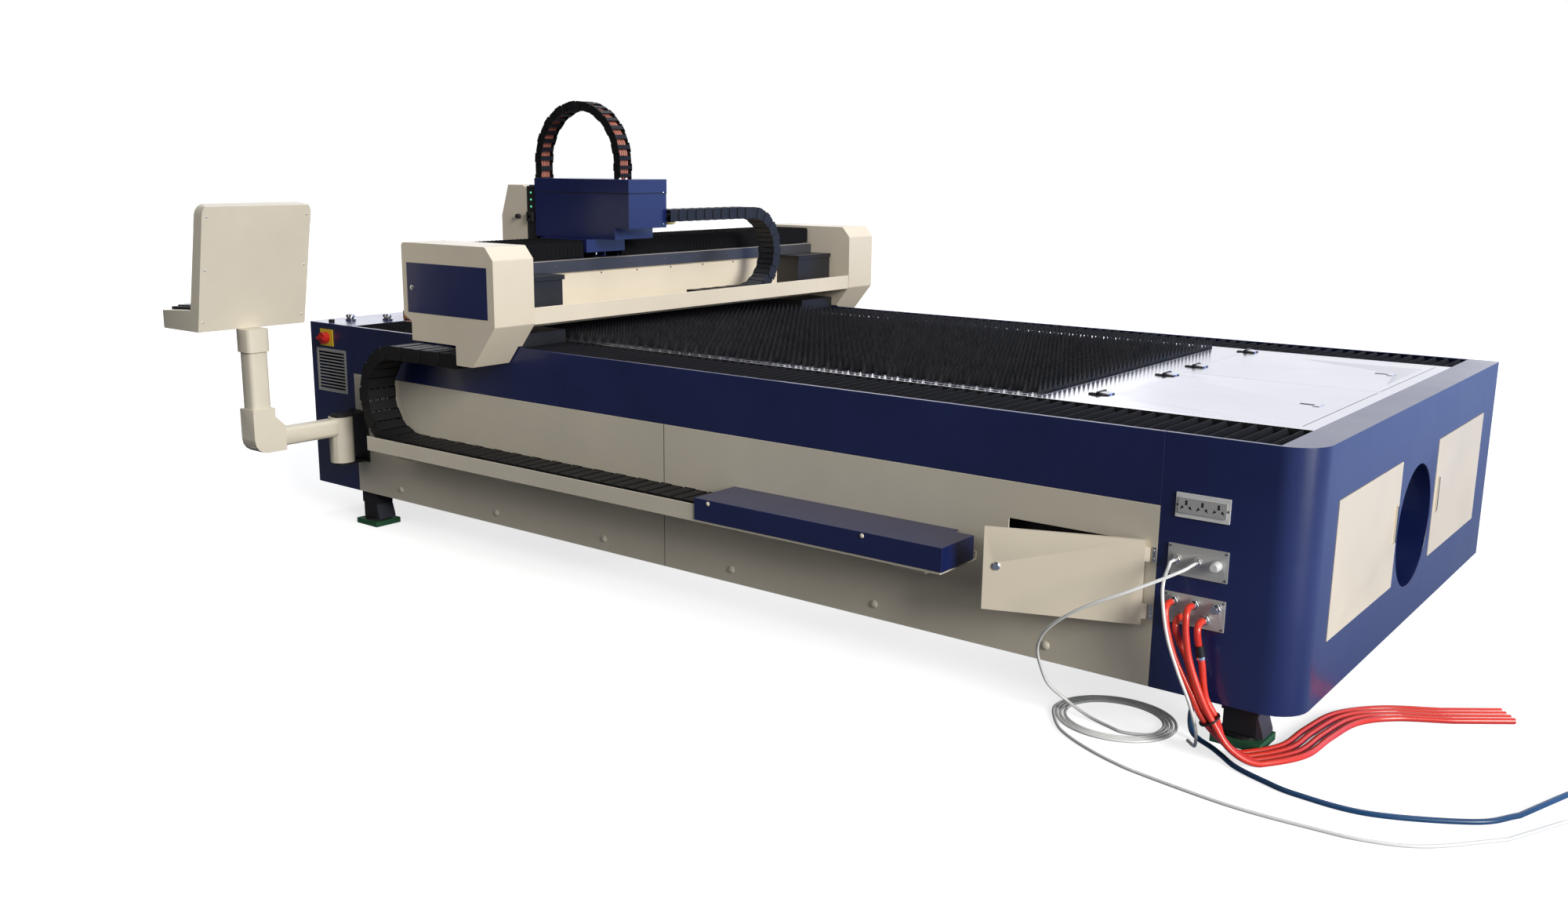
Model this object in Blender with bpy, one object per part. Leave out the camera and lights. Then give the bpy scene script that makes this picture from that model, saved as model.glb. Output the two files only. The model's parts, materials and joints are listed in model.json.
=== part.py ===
"""Fiber laser cutting machine with a slat table, a moving gantry and a cutting head.

The long side runs along X, the operator's side is -Y and +Z is up. Positions below are measured
from the middle of the bed at floor level. The whole model then hangs from the empty floor_datum,
which puts the origin at the middle of the machine's footprint.
"""

import math

import bmesh
import bpy
from mathutils import Matrix, Vector

GAP = 0.0003
SHEET = 0.004
SINK = 0.002

BED_X = 2.351
BED_Y = 1.136
BED_TOP = 0.950
SKIRT_Z = 0.167
BAND_Z = 0.729
RIM = 0.015
UNIT_LEFT_X = -2.012
UNIT_RIGHT_X = 1.915
RIGHT_RIM_X = 2.240
CORNER_R = 0.110

WELL_Y = 0.840
TABLE_X = (-1.700, 1.347)
TABLE_Y = 0.800
SLATS = 26
SLAT_TIP_Z = 0.990
TOOTH_PITCH = 0.070

LID_X = (1.500, 2.195)
LID_SPLIT_Y = 0.016
LID_HINGE = (1.4875, 0.957)

BELLOWS_Y = (0.848, 1.117)
RAIL_Y = (0.950, 0.985)
RAIL_TOP = 0.876

HOUSING_X = (-1.348, -0.773)
HOUSING_Y = (1.120, 1.334)
HOUSING_TOP = 1.372
FOOT_X = (-1.262, -0.880)
BEAM_X = (-1.290, -1.040)
BEAM_Z = (1.0003, 1.245)

X_CHAIN_Y = (-1.330, -1.180)
X_CHAIN_T = 0.060
X_CHAIN_BEND = (-1.465, 0.690)
X_CHAIN_R = 0.235
X_CHAIN_END = 0.450
TRAY_X = (-1.620, 1.314)
TRAY_LIP_Y = -1.360
TRAY_Z = (0.4507, 0.515)
COVER_X = (0.300, 1.320)

Y_CHAIN_X = (-0.890, -0.790)
Y_CHAIN_T = 0.055
Y_CHAIN_BEND = (0.330, 1.278)
Y_CHAIN_R = 0.217
Y_CHAIN_END = -0.050

SADDLE_Y = (-0.565, -0.320)
HEAD_X = (-1.415, -0.815)
HEAD_Y = (-0.515, -0.270)
HEAD_Z = (1.365, 1.628)
TORCH = (-1.575, -0.392)
NOZZLE_Z = 1.060
LIFT_Z = (1.150, 1.597)

ARCH_Y = (-0.450, -0.370)
ARCH_X = (-1.480, -0.930)
ARCH_STEM = 0.070
ARCH_T = 0.040

PIVOT = (-1.970, -1.250)
POST = (-1.975, -1.665)
ARM_Z = 0.500
BRACKET_Z = (0.320, 0.560)
POST_TOP = 0.990
CONSOLE_Y = (-1.900, -1.387)
CONSOLE_Z = (0.996, 1.515)
CONSOLE_BACK_X = (-2.000, -1.895)

DOOR_OPEN = math.radians(21.0)
HATCH_X = (1.409, 1.884)
HATCH_Z = (0.359, 0.621)
END_DOOR_Z = (0.347, 0.773)
END_DOOR_NEAR_Y = (-0.916, -0.230)
END_DOOR_FAR_Y = (0.248, 0.941)
EXHAUST_Z = 0.512
EXHAUST_R = 0.213

X_MAX = BED_X + 0.026
X_MIN = -BED_X
Y_MAX = HOUSING_Y[1] + 0.0013
Y_MIN = CONSOLE_Y[0]
SHIFT = (-(X_MAX + X_MIN) / 2, -(Y_MAX + Y_MIN) / 2, 0.0)

for old in list(bpy.data.objects):
    bpy.data.objects.remove(old, do_unlink=True)

scene = bpy.context.scene
parts = bpy.data.collections.new("fiber_laser_cutting_machine")
tools = bpy.data.collections.new("shaping_tools")
scene.collection.children.link(parts)
scene.collection.children.link(tools)


def material(name, colour, roughness, metallic=0.0):
    """A Principled material with one colour."""
    made = bpy.data.materials.new(name)
    made.use_nodes = True
    surface = made.node_tree.nodes["Principled BSDF"]
    surface.inputs["Base Color"].default_value = (*colour, 1.0)
    surface.inputs["Roughness"].default_value = roughness
    surface.inputs["Metallic"].default_value = metallic
    made.diffuse_color = (*colour, 1.0)
    return made


NAVY = material("navy_paint", (0.018, 0.040, 0.200), 0.35)
CREAM = material("cream_paint", (0.640, 0.600, 0.500), 0.40)
GREY = material("grey_cream_paint", (0.500, 0.490, 0.440), 0.40)
BLACK = material("black_steel", (0.020, 0.020, 0.022), 0.50)
SLAT = material("dark_slat_steel", (0.030, 0.030, 0.034), 0.45, 0.6)
DECK = material("brushed_stainless", (0.620, 0.610, 0.700), 0.30, 0.9)
CLOTH = material("bellows_cloth", (0.012, 0.012, 0.014), 0.60)
CHAIN = material("chain_plastic", (0.030, 0.032, 0.036), 0.55)
PLATE = material("panel_aluminium", (0.560, 0.530, 0.480), 0.35, 0.6)
YELLOW = material("switch_yellow", (0.800, 0.560, 0.030), 0.40)
RED = material("switch_red", (0.600, 0.020, 0.015), 0.35)
HOSE_RED = material("red_hose", (0.700, 0.060, 0.020), 0.40)
HOSE_BLUE = material("blue_hose", (0.010, 0.060, 0.160), 0.35)
HOSE_WHITE = material("white_tube", (0.620, 0.640, 0.620), 0.30)


def mesh_from(bm):
    """Mesh of a bmesh whose faces are turned outwards."""
    bmesh.ops.recalc_face_normals(bm, faces=bm.faces)
    mesh = bpy.data.meshes.new("shape")
    bm.to_mesh(mesh)
    bm.free()
    return mesh


def box(x, y, z):
    """Block between two values on each axis."""
    bm = bmesh.new()
    bmesh.ops.create_cube(bm, size=1.0)
    size = Vector((abs(x[1] - x[0]), abs(y[1] - y[0]), abs(z[1] - z[0])))
    middle = Vector((sum(x) / 2, sum(y) / 2, sum(z) / 2))
    bmesh.ops.scale(bm, vec=size, verts=bm.verts)
    bmesh.ops.translate(bm, vec=middle, verts=bm.verts)
    return mesh_from(bm)


TURNS = {
    "X": Matrix.Rotation(math.pi / 2, 4, "Y"),
    "Y": Matrix.Rotation(-math.pi / 2, 4, "X"),
    "Z": Matrix.Identity(4),
}


def rod(axis, low, high, radius, sides=20, tip=None):
    """Cylinder, or a cone with tip, along an axis from the point low for a length up to high."""
    bm = bmesh.new()
    span = high - low["XYZ".index(axis)]
    end = radius if tip is None else tip
    bmesh.ops.create_cone(bm, cap_ends=True, segments=sides, radius1=radius, radius2=end, depth=span)
    bmesh.ops.translate(bm, vec=(0.0, 0.0, span / 2), verts=bm.verts)
    bmesh.ops.transform(bm, matrix=Matrix.Translation(low) @ TURNS[axis], verts=bm.verts)
    return mesh_from(bm)


PLANES = {
    "XY": Matrix.Identity(4),
    "XZ": Matrix(((1, 0, 0, 0), (0, 0, -1, 0), (0, 1, 0, 0), (0, 0, 0, 1))),
    "YZ": Matrix(((0, 0, 1, 0), (1, 0, 0, 0), (0, 1, 0, 0), (0, 0, 0, 1))),
}


def slab(plane, outline, low, high, holes=()):
    """Flat outline, with any holes, given thickness along the axis that its plane leaves out."""
    curve = bpy.data.curves.new("outline", "CURVE")
    curve.dimensions = "2D"
    curve.fill_mode = "BOTH"
    curve.extrude = abs(high - low) / 2
    for ring in (outline, *holes):
        spline = curve.splines.new("POLY")
        spline.points.add(len(ring) - 1)
        for point, (a, b) in zip(spline.points, ring):
            point.co = (a, b, 0.0, 1.0)
        spline.use_cyclic_u = True
    holder = bpy.data.objects.new("outline", curve)
    scene.collection.objects.link(holder)
    graph = bpy.context.evaluated_depsgraph_get()
    flat = bpy.data.meshes.new_from_object(holder.evaluated_get(graph))
    bpy.data.objects.remove(holder, do_unlink=True)
    bm = bmesh.new()
    bm.from_mesh(flat)
    bmesh.ops.remove_doubles(bm, verts=bm.verts, dist=0.00001)
    bmesh.ops.transform(bm, matrix=PLANES[plane], verts=bm.verts)
    normal = {"XY": (0, 0, 1), "XZ": (0, 1, 0), "YZ": (1, 0, 0)}[plane]
    bmesh.ops.translate(bm, vec=Vector(normal) * (low + high) / 2, verts=bm.verts)
    return mesh_from(bm)


def oblong(a, b):
    """Rectangular ring between two values on each axis."""
    return [(a[0], b[0]), (a[1], b[0]), (a[1], b[1]), (a[0], b[1])]


def rounded(corners, steps=4):
    """Outline whose corners (a, b, radius) are turned as arcs."""
    ring = []
    for i, (a, b, radius) in enumerate(corners):
        here = Vector((a, b))
        if radius == 0:
            ring.append((a, b))
            continue
        back = (Vector(corners[i - 1][:2]) - here).normalized()
        ahead = (Vector(corners[(i + 1) % len(corners)][:2]) - here).normalized()
        half = back.angle(ahead) / 2
        centre = here + (back + ahead).normalized() * radius / math.sin(half)
        first = here + back * radius / math.tan(half) - centre
        last = here + ahead * radius / math.tan(half) - centre
        sweep = first.angle(last)
        for k in range(steps + 1):
            t = k / steps
            spoke = first * math.sin((1 - t) * sweep) + last * math.sin(t * sweep)
            ring.append(tuple(centre + spoke / math.sin(sweep)))
    return ring


def inset(ring, wall):
    """The outline moved inwards by the wall's thickness."""
    area = sum(p[0] * q[1] - q[0] * p[1] for p, q in zip(ring, ring[1:] + ring[:1]))
    side = wall if area > 0 else -wall
    moved = []
    for i, corner in enumerate(ring):
        here = Vector(corner)
        before = (here - Vector(ring[i - 1])).normalized()
        after = (Vector(ring[(i + 1) % len(ring)]) - here).normalized()
        first = Vector((-before.y, before.x)) * side
        second = Vector((-after.y, after.x)) * side
        share = (first + second) / 2
        moved.append(tuple(here + share * side * side / share.length_squared))
    return moved


def add(name, mesh, mat, origin=(0.0, 0.0, 0.0)):
    """A piece of the machine, with its own origin."""
    mesh.name = name
    mesh.transform(Matrix.Translation(-Vector(origin)))
    mesh.materials.clear()
    mesh.materials.append(mat)
    piece = bpy.data.objects.new(name, mesh)
    piece.location = origin
    parts.objects.link(piece)
    return piece


def shape(piece, kind, mesh):
    """Adds a live Boolean with the given mesh to a piece."""
    helper = bpy.data.objects.new(f"{piece.name}_{kind.lower()}_{len(piece.modifiers)}", mesh)
    helper.hide_render = True
    helper.display_type = "WIRE"
    tools.objects.link(helper)
    change = piece.modifiers.new(kind.lower(), "BOOLEAN")
    change.operation = kind
    change.solver = "EXACT"
    change.object = helper
    return piece


def cut(piece, *meshes):
    for mesh in meshes:
        shape(piece, "DIFFERENCE", mesh)
    return piece


def join(piece, *meshes):
    for mesh in meshes:
        shape(piece, "UNION", mesh)
    return piece


def keep(piece, mesh):
    return shape(piece, "INTERSECT", mesh)


def smooth(piece):
    piece.data.shade_smooth()
    piece.data.set_sharp_from_angle(angle=math.radians(40.0))
    return piece


SIDES = (("near", -1), ("far", 1))

# Welded bed: two side beams, cross frames between them, rails and machine feet.
beam_wall = 0.012
beam_x = (-2.100, 2.235)
side_beam_y = (0.834, BED_Y - SHEET - GAP)
side_beam_z = (0.640, 0.840)
ring = oblong((-side_beam_y[1], -side_beam_y[0]), side_beam_z)
bed = add("bed_frame", slab("YZ", ring, *beam_x, [inset(ring, beam_wall)]), BLACK)
far_ring = [(-a, b) for a, b in ring]
join(bed, slab("YZ", far_ring, *beam_x, [inset(far_ring, beam_wall)]))
frame_x = (-1.960, -0.650, 0.650, 1.890)
for x in frame_x:
    top = BED_TOP - 0.055 - GAP
    outer = oblong((-0.845, 0.845), (0.240, top))
    window = oblong((-0.740, 0.740), (0.330, 0.800))
    join(bed, slab("YZ", outer, x, x + 0.020, [window]))
for _, side in SIDES:
    well = (0.832, WELL_Y) if side > 0 else (-WELL_Y, -0.832)
    rail = RAIL_Y if side > 0 else (-RAIL_Y[1], -RAIL_Y[0])
    join(bed, box((beam_x[0] + 0.010, beam_x[1] - 0.010), well, (0.700, BED_TOP - SHEET - GAP)))
    join(bed, box((-1.990, 1.880), rail, (side_beam_z[1] - SINK, RAIL_TOP)))
    for x, y in ((-1.980, 1.060), (2.150, 0.960), (-0.640, 0.560), (0.660, 0.560)):
        leg_top = 0.650 if abs(y) > 0.9 else 0.300
        y = y * side
        join(bed, box((x - 0.055, x + 0.055), (y - 0.045, y + 0.045), (0.105, leg_top)))
        join(bed, rod("Z", (x, y, 0.030), 0.120, 0.016, 12))
        join(bed, rod("Z", (x, y, 0.0), 0.034, 0.062, 20))

union_at = (2.095, -0.975, 0.130)
join(bed, rod("X", (union_at[0] - 0.025, *union_at[1:]), union_at[0] + 0.005, 0.011, 16))

# Painted sheets on the long sides.
for word, side in SIDES:
    skin = BED_Y * side
    back = (BED_Y - SHEET) * side
    rim = (BED_Y - RIM) * side
    band = [(skin, BAND_Z + GAP), (back, BAND_Z + GAP), (back, BED_TOP - SHEET)]
    band += [(rim, BED_TOP - SHEET), (rim, BED_TOP), (skin, BED_TOP)]
    span = (UNIT_LEFT_X + GAP, UNIT_RIGHT_X - GAP)
    add(f"side_band_{word}", slab("YZ", band, *span), NAVY)
    fold = (BED_Y - 0.024) * side
    panel = [(skin, SKIRT_Z), (fold, SKIRT_Z), (fold, SKIRT_Z + SHEET)]
    panel += [(back, SKIRT_Z + SHEET), (back, BAND_Z), (skin, BAND_Z)]
    sheet = add(f"side_panel_{word}", slab("YZ", panel, *span), GREY)
    if side < 0:
        hatch_x = (HATCH_X[0] + 0.016, HATCH_X[1] - 0.014)
        hatch_z = (HATCH_Z[0] + 0.012, HATCH_Z[1] - 0.012)
        cut(sheet, box(hatch_x, (-BED_Y - 0.010, -BED_Y + 0.010), hatch_z))

# Left end unit: a folded housing, open underneath and towards the bed.
corners = [(-BED_X, -BED_Y, 0.020), (UNIT_LEFT_X, -BED_Y, 0), (UNIT_LEFT_X, BED_Y, 0)]
corners += [(-BED_X, BED_Y, 0.020)]
plan = rounded(corners)
left = add("end_unit_left", slab("XY", plan, SKIRT_Z, BED_TOP), NAVY)
inner = (-BED_X + SHEET, UNIT_LEFT_X + 0.050)
hollow_y = (-BED_Y + SHEET, BED_Y - SHEET)
cut(left, box(inner, hollow_y, (SKIRT_Z - 0.050, BED_TOP - SHEET)))
vent_x = (-2.296, -2.064)
vent_z = (0.623, 0.830)
cut(left, box(vent_x, (-BED_Y - 0.010, -BED_Y + 0.010), vent_z))
slots = []
rows = 12
for i in range(rows):
    z = vent_z[0] + 0.020 + i * (vent_z[1] - vent_z[0] - 0.040) / (rows - 1)
    slots.append(oblong((vent_x[0] + 0.014, vent_x[1] - 0.014), (z - 0.0045, z + 0.0045)))
frame = oblong((vent_x[0] + GAP, vent_x[1] - GAP), (vent_z[0] + GAP, vent_z[1] - GAP))
add("vent_grille", slab("XZ", frame, -BED_Y - 0.0015, -BED_Y + 0.0025, slots), PLATE)

# Main switch.
plate_x = (-2.255, -2.155)
knob_x = sum(plate_x) / 2
plate_z = (0.842, 0.922)
knob_z = sum(plate_z) / 2
plate_face = -BED_Y - 0.005
add("switch_plate", box(plate_x, (plate_face, -BED_Y - GAP), plate_z), YELLOW)
axle = (knob_x, plate_face - 0.028, knob_z)
knob = add("switch_knob", rod("Y", axle, plate_face - GAP, 0.027, 24), RED, axle)
grip = (plate_face - 0.040, plate_face - 0.020)
join(knob, box((knob_x - 0.024, knob_x + 0.024), grip, (knob_z - 0.007, knob_z + 0.007)))

# Right end unit, with an open top over the bellows and the deck.
corners = [(UNIT_RIGHT_X, -BED_Y, 0), (BED_X, -BED_Y, CORNER_R), (BED_X, BED_Y, 0.012)]
corners += [(UNIT_RIGHT_X, BED_Y, 0)]
plan = rounded(corners, 7)
right = add("end_unit_right", slab("XY", plan, SKIRT_Z, BED_TOP), NAVY)
inner = [(x if x > UNIT_RIGHT_X + 0.050 else UNIT_RIGHT_X - 0.050, y) for x, y in inset(plan, SHEET)]
cut(right, slab("XY", inner, SKIRT_Z - 0.050, BED_TOP - SHEET))
open_y = (-BED_Y + RIM, BED_Y - RIM)
cut(right, box((UNIT_RIGHT_X - 0.050, RIGHT_RIM_X), open_y, (BED_TOP - 0.020, BED_TOP + 0.020)))
through = (BED_X - 0.020, BED_X + 0.020)
for door in (END_DOOR_NEAR_Y, END_DOOR_FAR_Y):
    cut(right, box(through, door, END_DOOR_Z))
cut(right, rod("X", (BED_X - 0.020, 0.0, EXHAUST_Z), BED_X + 0.020, EXHAUST_R, 40))
collar = (BED_X - 0.090, 0.0, EXHAUST_Z)
circle = [(math.cos(math.tau * i / 40), math.sin(math.tau * i / 40)) for i in range(40)]
wide = [(a * (EXHAUST_R + 0.006), EXHAUST_Z + b * (EXHAUST_R + 0.006)) for a, b in circle]
bore = [(a * (EXHAUST_R - 0.001), EXHAUST_Z + b * (EXHAUST_R - 0.001)) for a, b in circle]
join(right, slab("YZ", wide, BED_X - 0.120, BED_X - 0.0015, [bore]))

# Connection plates with their fittings.
face = -BED_Y - 0.005
sockets = add("socket_panel", box((1.961, 2.121), (face, -BED_Y - GAP), (0.706, 0.779)), PLATE)
for i in range(3):
    x = 1.991 + i * 0.050
    join(sockets, box((x - 0.019, x + 0.019), (face - 0.003, face + SINK), (0.721, 0.764)))
gas_x = (1.977, 2.039, 2.097)
gas_z = 0.581
gas_plate = ((gas_x[0] - 0.028, gas_x[-1] + 0.030), (face, -BED_Y - GAP), (gas_z - 0.049, gas_z + 0.044))
gas = add("gas_panel", box(*gas_plate), PLATE)
for x in gas_x:
    join(gas, rod("Y", (x, face - 0.006, gas_z), face + SINK, 0.014, 16))
    join(gas, rod("Y", (x, face - 0.026, gas_z), face + SINK, 0.009, 16))
hose_x = (1.977, 2.010, 2.039, 2.075)
hose_z = (0.455, 0.416, 0.455, 0.416)
spare_x = 2.104
water_x = (hose_x[0] - 0.030, max(spare_x, hose_x[-1]) + 0.024)
water_z = (hose_z[1] - 0.031, hose_z[0] + 0.023)
water = add("water_panel", box(water_x, (face, -BED_Y - GAP), water_z), PLATE)
for x, z in zip((*hose_x, spare_x), (*hose_z, hose_z[0])):
    join(water, rod("Y", (x, face - 0.006, z), face + SINK, 0.0145, 16))
    join(water, rod("Y", (x, face - 0.026, z), face + SINK, 0.0115, 16))

# Stainless deck around the table, and the two lids in it.
deck_x = (UNIT_LEFT_X + GAP, RIGHT_RIM_X - GAP)
table_hole = oblong((TABLE_X[0] - SINK, TABLE_X[1] + 0.0005), (-TABLE_Y - 0.0005, TABLE_Y + 0.0005))
lid_spans = {"near": (-0.795, LID_SPLIT_Y - 0.012), "far": (LID_SPLIT_Y + 0.012, 0.795)}
lid_holes = [oblong(LID_X, y) for y in lid_spans.values()]
deck_ring = oblong(deck_x, (-WELL_Y, WELL_Y))
deck = add(
    "deck_frame",
    slab("XY", deck_ring, BED_TOP - SHEET, BED_TOP, [table_hole, *lid_holes]),
    DECK,
)
hinge_y = {"near": (-0.642, -0.086), "far": (0.198, 0.783 - 0.030)}
for word, _ in SIDES:
    span = lid_spans[word]
    inner_y = (span[0] + 0.0015, span[1] - 0.0015)
    inner_x = (LID_X[0] + 0.0015, LID_X[1] - 0.0015)
    lid_z = (BED_TOP - SHEET, BED_TOP + 0.0005)
    pin = (LID_HINGE[0], sum(span) / 2, LID_HINGE[1])
    lid = add(f"deck_lid_{word}", box(inner_x, inner_y, lid_z), DECK, pin)
    for y in hinge_y[word]:
        leaf = [(LID_HINGE[0], 0.9518), (1.5035, 0.9518), (1.5035, BED_TOP - 0.002)]
        leaf += [(1.522, BED_TOP - 0.002), (1.522, 0.957), (LID_HINGE[0], 0.961)]
        join(lid, slab("XZ", leaf, y - 0.024, y + 0.024))
        join(lid, rod("Y", (LID_HINGE[0], y - 0.026, LID_HINGE[1]), y + 0.026, 0.0052, 12))
        join(deck, box((1.460, 1.4815), (y - 0.024, y + 0.024), (BED_TOP - 0.002, 0.958)))
    pull_y = -0.391 if word == "near" else 0.474
    join(lid, box((2.108, 2.128), (pull_y - 0.030, pull_y + 0.030), (0.949, 0.9525)))

# Slat table: a frame of flat bars that carries toothed slats.
bar = 0.012
table_z = (BED_TOP - 0.055, BED_TOP)
table_ring = oblong(TABLE_X, (-TABLE_Y, TABLE_Y))
opening = oblong((TABLE_X[0] + bar, TABLE_X[1] - bar), (-TABLE_Y + bar, TABLE_Y - bar))
table = add("slat_table", slab("XY", table_ring, *table_z, [opening]), SLAT)
reach = TABLE_Y - bar + 0.004
teeth = int(2 * reach / TOOTH_PITCH)
pitch = 2 * reach / teeth
root_z = BED_TOP - 0.004
profile = [(-reach, table_z[0] + 0.006), (reach, table_z[0] + 0.006), (reach, root_z)]
for i in range(teeth):
    high = reach - i * pitch
    if i:
        profile.append((high, root_z))
    profile.append((high - pitch / 2, SLAT_TIP_Z))
profile.append((-reach, root_z))
first = TABLE_X[0] + 0.060
step = (TABLE_X[1] - 0.060 - first) / (SLATS - 1)
for i in range(SLATS):
    x = first + i * step
    join(table, slab("YZ", profile, x - 0.002, x + 0.002))


def link_path(points, pitch):
    """Equal steps along a path, as places with their direction."""
    lengths = [0.0]
    for p, q in zip(points, points[1:]):
        lengths.append(lengths[-1] + (Vector(q) - Vector(p)).length)
    count = max(2, round(lengths[-1] / pitch))
    places = []
    for k in range(count + 1):
        want = lengths[-1] * k / count
        i = min(sum(1 for at in lengths[1:-1] if at < want), len(points) - 2)
        part = (want - lengths[i]) / (lengths[i + 1] - lengths[i])
        places.append(Vector(points[i]).lerp(Vector(points[i + 1]), part))
    return places


def chain(plane, points, thick, across, pitch):
    """Drag chain along a path in a plane: each link's waist is a little slimmer than its ends."""
    places = link_path(points, pitch)
    outer = []
    inner = []
    for i, place in enumerate(places):
        ahead = places[min(i + 1, len(places) - 1)] - places[max(i - 1, 0)]
        normal = Vector((-ahead.y, ahead.x)).normalized() * thick / 2
        slim = 1.0 if i in (0, len(places) - 1) or i % 2 == 0 else 0.90
        outer.append(tuple(place + normal * slim))
        inner.append(tuple(place - normal * slim))
    return slab(plane, outer + inner[::-1], *across)


def arc(centre, radius, start, end, steps):
    """Points on an arc, angles in degrees."""
    points = []
    for k in range(steps + 1):
        turn = math.radians(start + (end - start) * k / steps)
        points.append((centre[0] + radius * math.cos(turn), centre[1] + radius * math.sin(turn)))
    return points


def bent_chain(plane, centre, radius, thick, start, end, across, links):
    """Drag chain round a bend, whose two ends are cut square to its way."""
    outer = []
    inner = []
    for k in range(links + 1):
        slim = thick * 0.05 if k % 2 else 0.0
        turn = math.radians(start + (end - start) * k / links)
        way = Vector((math.cos(turn), math.sin(turn)))
        outer.append(tuple(Vector(centre) + way * (radius - slim)))
        inner.append(tuple(Vector(centre) + way * (radius - thick + slim)))
    return slab(plane, outer + inner[::-1], *across)


# Chain tray along the near side, its cover, and the X drag chain.
wall = -BED_Y - GAP
section = [(TRAY_LIP_Y, TRAY_Z[0]), (wall, TRAY_Z[0]), (wall, TRAY_Z[0] + 0.030)]
section += [(wall - SHEET, TRAY_Z[0] + 0.030), (wall - SHEET, TRAY_Z[0] + SHEET)]
section += [(TRAY_LIP_Y + SHEET, TRAY_Z[0] + SHEET), (TRAY_LIP_Y + SHEET, TRAY_Z[1])]
section += [(TRAY_LIP_Y, TRAY_Z[1])]
tray = add("chain_tray", slab("YZ", section, *TRAY_X), GREY)
for x in (-1.470, -0.850, -0.160, 0.470, 1.100):
    strut = [(wall, TRAY_Z[0] + 0.001), (TRAY_LIP_Y + 0.030, TRAY_Z[0] + 0.001)]
    strut += [(TRAY_LIP_Y + 0.050, TRAY_Z[0] - 0.024), (wall, TRAY_Z[0] - 0.045)]
    join(tray, slab("YZ", strut, x, x + 0.130))
front = TRAY_LIP_Y - GAP
cover_top = 0.540
section = [(front - SHEET, 0.460), (front, 0.460), (front, cover_top - SHEET)]
section += [(wall, cover_top - SHEET), (wall, cover_top), (front - SHEET, cover_top)]
cover = add("chain_tray_cover", slab("YZ", section, *COVER_X), NAVY)
end_wall = (COVER_X[1] - SHEET, COVER_X[1])
join(cover, box(end_wall, (front - 0.002, wall - 0.004), (0.460, cover_top - 0.002)))
notch = (wall - 0.030, wall + 0.010)
cut(cover, box((COVER_X[1] - 0.075, COVER_X[1] + 0.010), notch, (0.420, 0.600)))

middle = X_CHAIN_R - X_CHAIN_T / 2
low_z = X_CHAIN_BEND[1] - middle
high_z = X_CHAIN_BEND[1] + middle
run = [(X_CHAIN_BEND[0] + GAP, low_z), (X_CHAIN_END, low_z)]
add("x_chain_lower", chain("XZ", run, X_CHAIN_T, X_CHAIN_Y, 0.060), CHAIN)
run = [(X_CHAIN_BEND[0] + GAP, high_z), (-1.017 - GAP, high_z)]
add("x_chain_upper", chain("XZ", run, X_CHAIN_T, X_CHAIN_Y, 0.060), CHAIN)
bend_at = (X_CHAIN_BEND[0], sum(X_CHAIN_Y) / 2, X_CHAIN_BEND[1])
loop = bent_chain("XZ", X_CHAIN_BEND, X_CHAIN_R, X_CHAIN_T, 270, 90, X_CHAIN_Y, 16)
smooth(add("x_chain_loop", loop, CHAIN, bend_at))


def folds(plane, span, heights, across, fold, thick=0.004):
    """Bellows: a zigzag sheet along a span."""
    count = max(2, 2 * round((span[1] - span[0]) / fold / 2 * 2))
    top = []
    for i in range(count + 1):
        a = span[0] + (span[1] - span[0]) * i / count
        top.append((a, heights[i % 2]))
    under = [(a, b - thick) for a, b in reversed(top)]
    return slab(plane, top + under, *across)


fold_z = (0.926, 0.948)
for word, side in SIDES:
    across = BELLOWS_Y if side > 0 else (-BELLOWS_Y[1], -BELLOWS_Y[0])
    span = (FOOT_X[1] + GAP, RIGHT_RIM_X - 0.006)
    add(f"bellows_right_{word}", folds("XZ", span, fold_z, across, 0.090), CLOTH)
    span = (UNIT_LEFT_X + 0.001, FOOT_X[0] - GAP)
    add(f"bellows_left_{word}", folds("XZ", span, fold_z, across, 0.090), CLOTH)

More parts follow.
